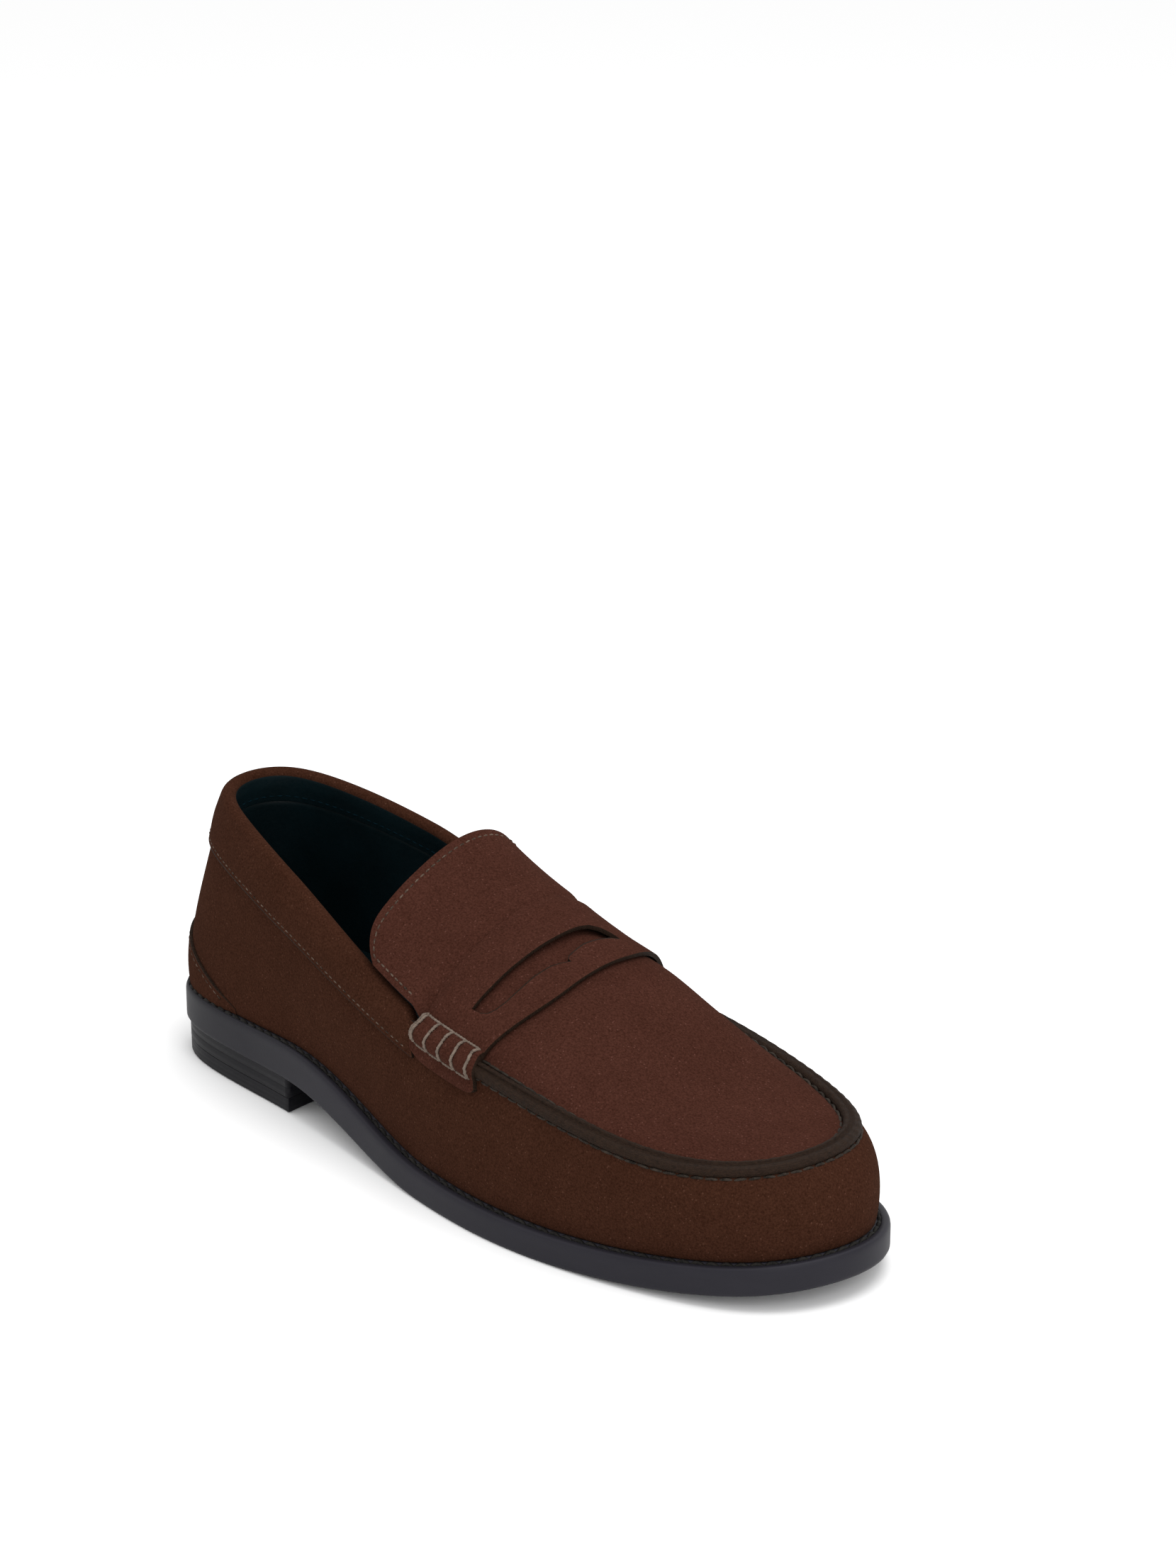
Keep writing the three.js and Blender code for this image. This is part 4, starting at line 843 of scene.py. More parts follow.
# each stitch row: pitch, stitch length, thread radius, arch in millimetres, then wander in radians
ROWS = {
    "welt_stitches": (4.6, 3.9, 0.7, 0.62, 0.02),
    "seam_stitches": (4.3, 3.9, 0.5, 0.38, 0.09),
    "collar_stitches": (2.7, 2.0, 0.26, 0.2, 0.05),
    "lining_stitches": (2.9, 2.3, 0.22, 0.14, 0.05),
    "crescent_stitches": (2.7, 2.1, 0.2, 0.12, 0.05),
    "tail_stitches": (2.7, 2.1, 0.2, 0.12, 0.05),
    "tongue_stitches": (2.5, 1.9, 0.3, 0.26, 0.05),
}


def stitch_row(name, lines, thread):
    pitch, length, radius, arch_height, wander = ROWS[name]
    return thread_piece(name, row_tree(), lines, {
        "Pitch": pitch * MM, "Stitch Length": length * MM, "Thread Radius": radius * MM, "Arch": arch_height * MM,
        "Wander": wander, "Seed": 3, "Thread": thread})


# ---------- sole and heel ----------


def groove_inset(u):
    """The line of the ledge's groove, just outside the foot of the wall."""
    return feather_inset(u) - 1.3


def build_sole(finish_of):
    """The moulded sole: a rounded tread edge, a smooth side, and a grooved ledge round the upper."""

    def above(height):
        return lambda x: underside(x) + height

    def below(depth):
        return lambda x: sole_top(x) - depth

    def groove(side):
        return lambda u: groove_inset(u) + side

    tiers = [(1.3, underside), (0.45, above(0.25)), (0.05, above(1.0)), (0.0, above(1.7)), (0.0, below(3.0)),
             (0.02, below(1.9)), (0.15, below(1.1)), (0.42, below(0.5)), (0.85, below(0.12)), (1.25, sole_top),
             (groove(-0.6), sole_top), (groove(-0.35), below(0.25)), (groove(0.0), below(0.7)),
             (groove(0.7), below(0.7)), (groove(0.95), sole_top), (WELT_WIDTH, sole_top), (WELT_WIDTH, below(2.6))]
    side_bands, ledge_bands = 7, 10
    piece = plate("sole", tiers, [finish_of["rubber"], finish_of["welt"]], [0] * side_bands + [1] * ledge_bands)
    settle(piece, "shoe", "outsole", "welt", slot="sole_rubber")

    def place(t, out):
        p = sole_edge(t, groove_inset(t) + 0.35)
        return with_z(p, sole_top(p[..., 0]) + out)

    settle(stitch_row("welt_stitches", [line_on(place, 900, 0, TURN, -0.1, True)], finish_of["dark thread"]), "shoe")


def sole_station_at(x, inner):
    """The station where the sole's edge passes a place along the shoe."""
    low, high = 0.2, TOE - 0.2
    for _ in range(HALVINGS):
        middle = (low + high) / 2
        if sole_edge(np.float64(TURN - middle if inner else middle))[0] < x:
            low = middle
        else:
            high = middle
    return TURN - low if inner else low


def heel_outline(inset):
    """The heel block's outline: the sole's edge behind the breast, which is hollowed a little."""
    heel_step, hollow = 1.2, 5
    breast = along(-73) - inset
    first, last = sole_station_at(breast, True) - TURN, sole_station_at(breast, False)
    edge = sole_edge(np.linspace(first, last, 121), np.full(121, heel_step + inset))[:, :2]
    t = np.linspace(0, 1, 30)[1:-1, None]
    middle = np.array([[breast - hollow, (edge[0, 1] + edge[-1, 1]) / 2]])
    return np.concatenate([edge, (1 - t) ** 2 * edge[-1] + 2 * t * (1 - t) * middle + t * t * edge[0]])


def heel_layer(name, tiers, finish_of):
    """A layer of the heel block through tiers of (inset, height)."""
    rings = []
    for inset, height in tiers:
        outline = heel_outline(inset)
        rings.append(np.column_stack([outline, np.full(len(outline), height)]))
    return bar(name, np.stack(rings), finish_of["heel"])


def build_heel(finish_of):
    """The heel block in two pieces, with the holes that the nails show through in its tread."""
    hole_radius, past_nail = 0.0028, 0.0013
    top_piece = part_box("top_piece")[1].z / MM
    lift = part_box("heel_lift_2")[1].z / MM
    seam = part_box("heel_lift_2")[0].z / MM
    tread = heel_layer("heel_top_piece", [(1.0, 0.0), (0.3, 0.35), (0.12, 0.9), (0.12, top_piece - 0.1),
                                          (0.35, top_piece + 0.15)], finish_of)
    for number in range(1, 6):
        low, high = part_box(f"heel_nail_{number}")
        middle = (low + high) / 2
        punch = bmesh.new()
        place = Matrix.Translation((middle.x, middle.y, 0.0))
        bmesh.ops.create_cone(punch, cap_ends=True, segments=24, radius1=hole_radius, radius2=hole_radius,
                              depth=2 * (low.z + past_nail), matrix=place)
        mesh = bpy.data.meshes.new("punch")
        punch.to_mesh(mesh)
        punch.free()
        cutter = bpy.data.objects.new("punch", mesh)
        bpy.context.scene.collection.objects.link(cutter)
        hole = tread.modifiers.new("nail hole", "BOOLEAN")
        hole.object = cutter
        hole.solver = "EXACT"
        bpy.context.view_layer.update()
        cut = bpy.data.meshes.new_from_object(tread.evaluated_get(bpy.context.evaluated_depsgraph_get()))
        tread.modifiers.clear()
        tread.data = cut
        bpy.data.objects.remove(cutter)
    settle(round_edges(tread, 0.15), "shoe", "top_piece", slot="sole_rubber")
    lifts = heel_layer("heel_lifts", [(0.3, top_piece + 0.16), (0.06, top_piece + 0.4), (0.06, seam - 0.3),
                                      (0.3, seam - 0.1), (0.04, seam + 0.15), (0.0, lift - 0.1),
                                      (0.2, lift + 0.38)], finish_of)
    settle(lifts, "shoe", "heel_lift_1", "heel_lift_2", slot="sole_rubber")


# ---------- wall, collar and heel ----------


def build_wall(finish_of):
    """The side wall, up to the collar's lap behind the rolls and up to the rim in front of them."""
    back = 0.012  # half the back seam's gap, in stations
    start = station_at(along(COLLAR_FRONT))
    start_inner = station_at(along(COLLAR_FRONT), True)
    u = np.concatenate([np.linspace(back, start, 150), np.linspace(start + 0.01, start_inner - 0.01, 330),
                        np.linspace(start_inner, TURN - back, 150)])
    stop = np.where((u > start) & (u < start_inner), 0.0, collar_depth(u) - COLLAR_LAP)
    top = v_at_length(u, stop, True)
    t = np.linspace(0, 1, 44)
    v = top[:, None] * t[None]
    wave = 0.22  # the leather isn't pulled quite even over the last
    puffed = wave * np.sin(np.pi * v) * np.sin(u[:, None] * 2.1 + 1.0) * smoothstep(v, 0, 0.3)
    high, low = wall(u[:, None], v, puffed), wall(u[:, None], v, -LEATHER)
    piece = leather_sheet("side_wall", low, high, [finish_of["wall"], finish_of["edge"], finish_of["lining"]], back=2)
    settle(round_edges(piece, 0.3), "shoe", "vamp_wall", slot="suede_wall")


def collar_depth(u):
    """How far the band reaches down outside: it narrows towards its front ends, and tucks under the tabs."""
    narrowing = 6.0
    return COLLAR_DEPTH - narrowing * smoothstep(rim(u)[..., 0], along(-85), along(8))


def collar_section():
    """The collar band's middle line in (up, out): up the outside, over the padded topline and down the inside."""
    lap, centre = CLEARANCE + COLLAR_SKIN / 2, -COLLAR_RADIUS - COLLAR_SKIN / 4
    line = [(-COLLAR_DEPTH, lap), (-13.5, lap + 0.05), (-10, lap + 0.15), (-6.5, lap), (PAD_FOOT, 0.35)]
    for angle in np.linspace(0, math.pi, 9):
        line.append((math.sin(angle) * COLLAR_RADIUS, centre + math.cos(angle) * COLLAR_RADIUS))
    line += [(PAD_FOOT, centre - COLLAR_RADIUS - 0.25), (-6, centre - COLLAR_RADIUS - 0.1),
             (-COLLAR_TURN_IN, centre - COLLAR_RADIUS)]
    line = np.array(line)
    run = np.concatenate([[0], np.cumsum(np.linalg.norm(np.diff(line, axis=0), axis=1))])
    even = np.concatenate([[0, 0.4], np.linspace(0.9, run[-1], 56)])
    smooth = np.stack([np.interp(even, run, line[:, k]) for k in (0, 1)], 1)
    for _ in range(2):
        smooth[1:-1] = (smooth[:-2] + 2 * smooth[1:-1] + smooth[2:]) / 4
    return smooth


def build_collar(finish_of):
    """The padded collar, whose lower part narrows and whose top flattens where it tucks under the tabs."""
    line = collar_section()
    direction = np.gradient(line, axis=0)
    direction /= np.linalg.norm(direction, axis=1, keepdims=True)
    first, last = station_at(along(-1.0), True) - TURN, station_at(along(-1.0))
    u = np.linspace(first, last, 420)
    x = rim(u)[:, 0]
    settled = smoothstep(x, along(-9.0), along(-2.0))[:, None]
    depth = collar_depth(u)[:, None]

    def band(side):
        reach = side * COLLAR_SKIN
        up = line[None, :, 0] - direction[None, :, 1] * reach
        out = line[None, :, 1] + direction[None, :, 0] * reach
        outside = line[None, :, 1] > -1.5
        deep = PAD_FOOT + (up - PAD_FOOT) * (depth + PAD_FOOT) / (COLLAR_DEPTH + PAD_FOOT)
        up = np.where((up < PAD_FOOT) & outside, deep, up)
        flat = np.minimum(up, PAD_FOOT + 0.15 * (up - PAD_FOOT))
        up = np.where(up > PAD_FOOT, lerp(up, flat, settled), up)
        return from_rim(u[:, None], up, out)

    paint = np.zeros((len(u) - 1, len(line) - 1), int)
    # the band's lowest row of faces takes the dark edge finish: partly the cut edge's own colour, partly a painted
    # shadow line under the lip
    paint[:, 0] = 1
    paint[:, int(np.argmax(line[:, 0])) + 5 :] = 2
    piece = leather_sheet("collar", band(-0.5), band(0.5),
                          [finish_of["wall"], finish_of["edge"], finish_of["lining"]], back=2, paint=paint)
    round_edges(piece, 0.25)
    settle(piece, "shoe", "collar_band", "collar_foam", slot="suede_wall")

    def outer_row(t, out):
        return from_rim(t, 1.7 - collar_depth(t), CLEARANCE + COLLAR_SKIN + out)

    def inner_row(t, out):
        return from_rim(t, -7.0, -2 * COLLAR_RADIUS - COLLAR_SKIN * 0.75 - 0.1 - out)

    ends = station_at(along(-6.0), True) - TURN, station_at(along(-6.0))
    for name, line, thread in (("collar_stitches", outer_row, "fine thread"),
                               ("lining_stitches", inner_row, "lining thread")):
        settle(stitch_row(name, [line_on(line, 700, *ends)], finish_of[thread]), "shoe")


def build_heel_leather(finish_of):
    """The crescent low at the back of the heel, and the strip above it over the back seam."""
    crescent_skin, strip_skin, edge_rise = 1.0, 1.3, 2

    def rise(station):
        return edge_rise + (FOXING_HEIGHT - edge_rise) * (1 - np.abs(station / FOXING_REACH) ** 1.7)

    def seam(s, out):
        return wall(s, v_at_length(s, np.maximum(rise(s) - 1.9, 0.4)), crescent_skin + out)

    u = np.linspace(-FOXING_REACH, FOXING_REACH, 260)
    t = np.append(np.linspace(0, 0.98, 26), 1.0)
    v = v_at_length(u[:, None], rise(u)[:, None] * t[None])
    skin = 0.25 + 0.75 * smoothstep(FOXING_REACH - np.abs(u), 0, 0.35)[:, None]
    paint = np.zeros((len(u) - 1, len(t) - 1), int)
    # the crescent's top row of faces takes the dark edge finish: partly the cut edge's own colour, partly painted
    # shade along the seam
    paint[:, -1] = 1
    piece = leather_sheet("heel_crescent", wall(u[:, None], v, 0.0), wall(u[:, None], v, skin),
                          [finish_of["wall"], finish_of["edge"]], paint=paint)
    settle(round_edges(piece, 0.3), "shoe", "heel_foxing", slot="suede_wall")
    row = [line_on(seam, 400, -FOXING_REACH + 0.25, FOXING_REACH - 0.25)]
    settle(stitch_row("crescent_stitches", row, finish_of["fine thread"]), "shoe")

    per_mm = 0.5 / abs(sole_edge(np.float64(0.5))[1] - sole_edge(np.float64(0.0))[1])
    whole = np.linalg.norm(np.diff(wall(0.0, np.linspace(0, 1, 200)), axis=0), axis=1).sum()
    bottom, top = FOXING_HEIGHT - 1.0, whole - COLLAR_DEPTH + 1.5
    t = np.linspace(0, 1, 60)
    s = np.linspace(-1, 1, 25)
    widest = 0.28
    widening = 1 + 0.9 * np.clip(1 - np.abs(t - widest) / widest, 0, None)
    half = BACK_STRIP_WIDTH / 2 * widening * per_mm
    station = s[None] * half[:, None]
    v = v_at_length(station, lerp(bottom, top, t)[:, None])
    piece = leather_sheet("back_tail", wall(station, v, 0.0), wall(station, v, strip_skin),
                          [finish_of["wall"], finish_of["edge"]])
    settle(round_edges(piece, 0.35), "shoe", "back_strip", slot="suede_wall")

    def beside(side):
        """A line up the strip, three quarters of the way out to one edge."""
        def line(q, out):
            across_strip = side * np.interp(q, t, half) * 0.76
            return wall(across_strip, v_at_length(across_strip, lerp(bottom, top, q)), strip_skin + out)
        return line_on(line, 120, 0.04, 0.97)

    settle(stitch_row("tail_stitches", [beside(-1), beside(1)], finish_of["fine thread"]), "shoe")


def build_linings(finish_of):
    """The linings behind the heel, the front and the apron, and the sock under the foot."""
    lining = [finish_of["lining"]]
    first, last = station_at(along(COLLAR_FRONT), True) - TURN, station_at(along(COLLAR_FRONT))
    u = np.linspace(first, last, 220)
    t = np.linspace(0, 1, 24)
    v = v_at_length(u, COLLAR_TURN_IN - 0.6, True)[:, None] * t[None]
    depth = -LINING_FACE
    piece = leather_sheet("heel_lining", wall(u[:, None], v, depth - 0.05), wall(u[:, None], v, depth + LINING),
                          lining, edge=0, back=0)
    settle(piece, "shoe", "quarter_lining", slot="lining")
    u = np.linspace(last, TURN + first, 240)
    v = 0.86 * np.broadcast_to(t[None], (240, 24))
    piece = leather_sheet("front_lining", wall(u[:, None], v, depth), wall(u[:, None], v, depth + LINING), lining,
                          edge=0, back=0)
    settle(piece, "shoe", "vamp_lining", slot="lining")

    def under(s, t):
        return apron_face(0.93 * s, lerp(1 / 6, 5 / 6, t))

    s, t = np.meshgrid(np.linspace(0, 1, 60), np.linspace(0, 1, 40), indexing="ij")
    piece = leather_sheet("apron_backing", off(under, s, t, -LEATHER - 1.3), off(under, s, t, -LEATHER - 0.3), lining,
                          edge=0, back=0)
    settle(piece, "shoe", "apron_lining", slot="lining")

    def sock_tier(extra, level):
        """A tier of the sock: its inset, and its height, which rises over the heel pad."""
        return (lambda u: feather_inset(u) + LINING_FACE - 1.3 + extra,
                lambda x: sole_top(x) + 4.2 + 3.0 * (1 - smoothstep(x, along(-72), along(-45))) + level)

    tiers = [sock_tier(*tier) for tier in ((1.2, -1.3), (0.2, -1.0), (0.0, -0.5), (0.3, -0.05), (1.2, 0.0))]
    piece = plate("sock", tiers, lining, [0] * len(tiers), 300, 30)
    settle(piece, "shoe", "sock_liner", slot="lining")


# ---------- apron, strap and tongue ----------


def build_apron(finish_of):
    """The apron, puffed a little between its edges."""
    s, t = np.meshgrid(np.linspace(0, 1, 210), np.linspace(0, 1, 120), indexing="ij")
    to_edge = np.minimum(t, 1 - t)
    puff = 0.5 * smoothstep(to_edge, 0.0, 0.12) - 0.5
    piece = leather_sheet("apron_top", off(apron_face, s, t, -LEATHER), off(apron_face, s, t, puff),
                          [finish_of["apron"], finish_of["edge"], finish_of["lining"]], back=2)
    settle(piece, "shoe", "apron", slot="suede_apron")


def build_ridge(finish_of):
    """The raised seam round the apron: two lips of leather gathered by the thread, with a groove between them."""
    gather_pitch = 4.4
    first, last = station_at(along(27.0)), station_at(along(27.0), True)
    u = np.linspace(first, last, 760)
    run = np.concatenate([[0], np.cumsum(np.linalg.norm(np.diff(rim(u), axis=0), axis=1))])
    gather = 0.5 + 0.5 * np.cos(2 * np.pi * run / gather_pitch)
    peak = 0.5 * (over_apron(u, 0.0, RIDGE_HEIGHT) + from_rim(u, 0.0, RIDGE_HEIGHT))
    lift = unit(over_apron(u, 0.0, 1.0) - over_apron(u, 0.0, 0.0) + from_rim(u, 0.0, 1.0) - from_rim(u, 0.0, 0.0))
    inner_top = over_apron(u, 0.0, 2.0 - 0.15 * gather)
    outer_top = from_rim(u, -1.3, 2.1 - 0.15 * gather)
    section = [
        over_apron(u, 0.5, -0.3), over_apron(u, 0.6, 0.6), over_apron(u, 0.5 + 0.15 * gather, 1.2),
        over_apron(u, 0.3, 1.7 - 0.12 * gather), inner_top, lerp(inner_top, peak - 0.25 * lift, 0.62),
        lerp(inner_top, peak, 0.9) - 0.95 * lift, lerp(outer_top, peak, 0.72) - 0.95 * lift,
        lerp(outer_top, peak - 0.2 * lift, 0.5), outer_top,
        from_rim(u, -2.1, 1.85 - 0.12 * gather), from_rim(u, -2.65 - 0.15 * gather, 1.3), from_rim(u, -2.9, 0.6),
        from_rim(u, -2.8, -0.3), from_rim(u, -0.5, -0.35), over_apron(u, 0.2, -0.35),
    ]
    piece = bar("apron_seam", np.stack(section, 1), finish_of["edge"])
    settle(piece, "shoe", "apron_seam_ridge", slot="suede_edge")

    def outer(q, out):
        return from_rim(q, -RIDGE_HALF - 0.4, 0.15 + out)

    def inner(q, out):
        return over_apron(q, 1.15, out - 0.1)

    ends = station_at(along(30.0)), station_at(along(30.0), True)
    rows = [line_on(line, 900, *ends) for line in (outer, inner)]
    settle(stitch_row("seam_stitches", rows, finish_of["ridge thread"]), "shoe")


# The slot in the strap, as places across the shoe and along it: the rear edge, and the front lip with its point
SLOT_REAR = np.array([[-31, 15.4], [-23.5, 16.2], [-11.8, 16.8], [1.8, 17.6], [10, 17.8], [14, 18.4], [17, 20.4],
                      [18.8, 23.4], [19.4, 26.6]])
SLOT_LIP = np.array([[-31, 15.4], [-30.7, 18.6], [-29.6, 21.2], [-27.7, 22.6], [-24.5, 23.6], [-19, 23.9],
                     [-13.2, 23.9], [-7.4, 24.8], [-4.4, 26.2], [-1.8, 27.9], [-1.5, 26.4], [-0.6, 25.6], [1.1, 25.2],
                     [6.5, 24.2], [12, 24.6], [16.5, 25.4], [19.4, 26.6]])


def hump(s, t):
    """The instep's crest on the inner side, higher towards the strap's rear edge."""
    start, width = 0.36, 0.62
    return CREST * (1 - np.clip(s, 0, 1)) ** 1.5 * np.sin(np.pi * np.clip((t - start) / width, 0, 1)) ** 1.5


def build_strap(finish_of):
    """The saddle strap, in two runs of rows: behind the slot, and in front of it."""
    ruler = np.linspace(0.002, 0.998, 800)
    places = strap_face(np.full_like(ruler, 0.6), ruler)[:, 1]
    corners = np.interp(across(np.concatenate([SLOT_REAR[:, 0], SLOT_LIP[:, 0]])), places, ruler)
    t = np.unique(np.round(np.concatenate([np.linspace(0, 1, 130), np.linspace(0.14, 0.7, 190), corners]), 5))
    y = np.interp(t, ruler, places)
    rear = np.interp(y, across(SLOT_REAR[:, 0]), SLOT_REAR[:, 1])
    lip = np.interp(y, across(SLOT_LIP[:, 0]), SLOT_LIP[:, 1])
    width = lerp(STRAP_WIDTH_AT_ROLL, STRAP_WIDTH,
                 smoothstep(np.minimum(1, 2.6 * np.minimum(t, 1 - t)), 0, 1))
    tips = across(SLOT_REAR[[0, -1], 0])
    opened = np.sin(np.pi * np.clip((y - tips[0]) / (tips[1] - tips[0]), 0, 1)) ** 0.5
    crown = np.sin(np.pi * t)
    under, slot_gape = 0.35, 0.9  # the strap's height off the apron, and how far the slot's rear edge stands up
    parts = []
    for behind in (True, False):
        low_s, high_s = (0 * t, rear / width) if behind else (lip / width, 0 * t + 1)
        part = np.linspace(0, 1, 24)[:, None]
        s = lerp(low_s[None], high_s[None], part)
        side = np.broadcast_to(t[None], s.shape)
        raised = 0.75 * smoothstep(s, 0.62, 1.0) * crown[None] ** 1.5 + 0.2 * np.sin(np.pi * s) * crown[None]
        raised = raised + hump(s, side)
        thick = lerp(0.6, LEATHER, smoothstep(s, 0.0, 0.12))
        if behind:
            raised = raised + slot_gape * opened[None] * part**3
        else:
            sunk = opened[None] * (1 - part) ** 2
            thick = thick - 0.35 * sunk
        low = under + raised
        parts.append((off(strap_face, s, side, low), off(strap_face, s, side, low + thick)))
    merged = bmesh.new()
    for number, (low, high) in enumerate(parts):
        paint = np.zeros((len(low) - 1, len(t) - 1), int)
        if number:  # the lip's first row of faces takes the dark edge finish: a painted shadow line along the slot
            paint[0, opened[:-1] > 0.05] = 1
        part = leather_sheet(f"strap_part_{number}", low, high, [finish_of["apron"], finish_of["edge"]], paint=paint)
        merged.from_mesh(part.data)
        bpy.data.objects.remove(part)
    bmesh.ops.remove_doubles(merged, verts=merged.verts, dist=2e-6)
    merged.verts.index_update()
    same = {}
    for face in merged.faces:
        same.setdefault(frozenset(v.index for v in face.verts), []).append(face)
    inside = [face for faces in same.values() if len(faces) > 1 for face in faces]
    bmesh.ops.delete(merged, geom=inside, context="FACES_ONLY")
    bmesh.ops.dissolve_degenerate(merged, edges=merged.edges, dist=1e-6)
    bmesh.ops.recalc_face_normals(merged, faces=merged.faces)
    mesh = bpy.data.meshes.new("saddle")
    merged.to_mesh(mesh)
    merged.free()
    for name in ("apron", "edge"):
        mesh.materials.append(finish_of[name])
    piece = bpy.data.objects.new("saddle", mesh)
    bpy.context.scene.collection.objects.link(piece)
    settle(round_edges(piece, 0.25, 2, 50), "shoe", "saddle_strap", slot="suede_apron")


def tongue_hump(s, t):
    """The tongue's share of the crest, which eases towards its end."""
    return lerp(1.0, 0.65, smoothstep(s, 0.0, 0.9)) * hump(np.zeros_like(s), 1 - t)


def build_tongue(finish_of):
    """The tongue, in one piece from its root to the end of its flap, and the stitch row round its edge."""
    s, t = np.meshgrid(np.linspace(0, 1, 90), np.linspace(0, 1, 140), indexing="ij")
    high = off(tongue_face, s, t, tongue_hump(s, t))
    low = off(tongue_face, s, t, tongue_hump(s, t) - LEATHER - CLEARANCE - LINING)
    piece = leather_sheet("tongue_flap_leather", low, high,
                          [finish_of["tongue"], finish_of["edge"], finish_of["lining"]], back=2)
    round_edges(piece, 0.5, 3)
    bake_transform(piece)
    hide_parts("tongue", "tongue_lining")

    def edge(q, out):
        """Round the tongue's edge from side to side, two millimetres in."""
        side = np.where(q < 1, 0.035, np.where(q > 2, 0.965, lerp(0.035, 0.965, q - 1)))
        back = np.where(q < 1, lerp(0.3, 0.93, q), np.where(q > 2, lerp(0.93, 0.3, q - 2), 0.93))
        return off(tongue_face, back, side, tongue_hump(back, side) + out)

    points, lay, _ = line_on(edge, 600, 0.0, 3.0)
    for _ in range(12):
        points[1:-1] = (points[:-2] + 2 * points[1:-1] + points[2:]) / 4
    row = stitch_row("tongue_stitches", [(points, lay, False)], finish_of["fine thread"])
    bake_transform(row)


# ---------- rolls and lashings ----------


def roll_place(fraction):
    return along(lerp(-0.4, STRAP_WIDTH_AT_ROLL + ROLL_PAST, fraction))


def roll_ground(inner, fraction, c):
    """The leather under the roll: c runs from 0 on the strap, over the rim, to 1 on the tab."""
    fraction, c = np.broadcast_arrays(np.asarray(fraction, float), np.asarray(c, float))
    station = station_at(roll_place(fraction), inner)
    t = np.clip(0.046 * (1 - c / 0.5), 0, 1)
    on_strap = off(strap_face, np.clip(fraction, 0, 1), 1 - t if inner else t, STRAP_TOP - 0.4)
    on_tab = from_rim(station, -0.2 - 4.0 * (c - 0.5) / 0.5, CLEARANCE + LEATHER - 0.2)
    k = smoothstep(c, 0.32, 0.62)[..., None]
    return on_strap * (1 - k) + on_tab * k


def roll_frame(inner, fraction, c):
    """The ground under the roll, and the direction off it."""
    ground = roll_ground(inner, fraction, c)
    step = 0.02
    over = (roll_ground(inner, fraction, np.clip(c + step, 0, 1))
            - roll_ground(inner, fraction, np.clip(c - step, 0, 1)))
    beside = (roll_ground(inner, np.clip(fraction + step, 0, 1), c)
              - roll_ground(inner, np.clip(fraction - step, 0, 1), c))
    face = unit(np.cross(over, beside))
    return ground, face * (-1.0 if inner else 1.0)


def wrap_fraction(wrap):
    return lerp(FIRST_WRAP, LAST_WRAP, wrap / (WRAPS - 1))


def roll_skin(inner, fraction, c, out=0.0):
    """The roll's outer face: leather that swells between the thread's wraps."""
    fraction, c, out = np.broadcast_arrays(np.asarray(fraction, float), np.asarray(c, float), out)
    ground, face = roll_frame(inner, fraction, c)
    phase = (fraction - FIRST_WRAP) / (LAST_WRAP - FIRST_WRAP) * (WRAPS - 1)
    pinch_width = 0.17
    pinch = np.exp(-((phase - np.round(phase)) / pinch_width) ** 2)
    ends = smoothstep(fraction, -0.02, 0.07) * smoothstep(1 - fraction, -0.02, 0.06)
    swell = np.sin(np.pi * np.clip(c, 0, 1)) ** 0.6
    height = (ROLL_RISE - ROLL_PINCH * pinch) * swell * (0.3 + 0.7 * ends)
    return ground + face * (height + out)[..., None]


def lashing_lines(inner):
    """The thread's runs: five wraps over the roll, the first one doubled, and chains from hole to hole."""
    lines = []

    def run(fractions, cs, out):
        points = roll_skin(inner, fractions, cs, out)
        lines.append((points, np.tile([0, 0, 1.0], (len(points), 1)), False))

    c = np.linspace(0.0, 1.0, 26)
    lift = 0.42 - 1.3 * (np.abs(2 * c - 1) ** 9)
    places = [(wrap_fraction(w), 0.0) for w in range(WRAPS)] + [(wrap_fraction(0), 0.042)]
    for fraction, shift in places:
        run(np.full_like(c, fraction - shift) + 0.012 * (c - 0.5), c, lift)
    q = np.linspace(0, 1, 16)
    sink = 0.42 - 1.25 * np.abs(2 * q - 1) ** 6
    for w in range(WRAPS - 1):
        for row, radius_out in ((0.0, 0.0), (1.0, -0.05)):
            run(lerp(wrap_fraction(w), wrap_fraction(w + 1), q), np.full_like(q, row), sink + radius_out)
    return lines


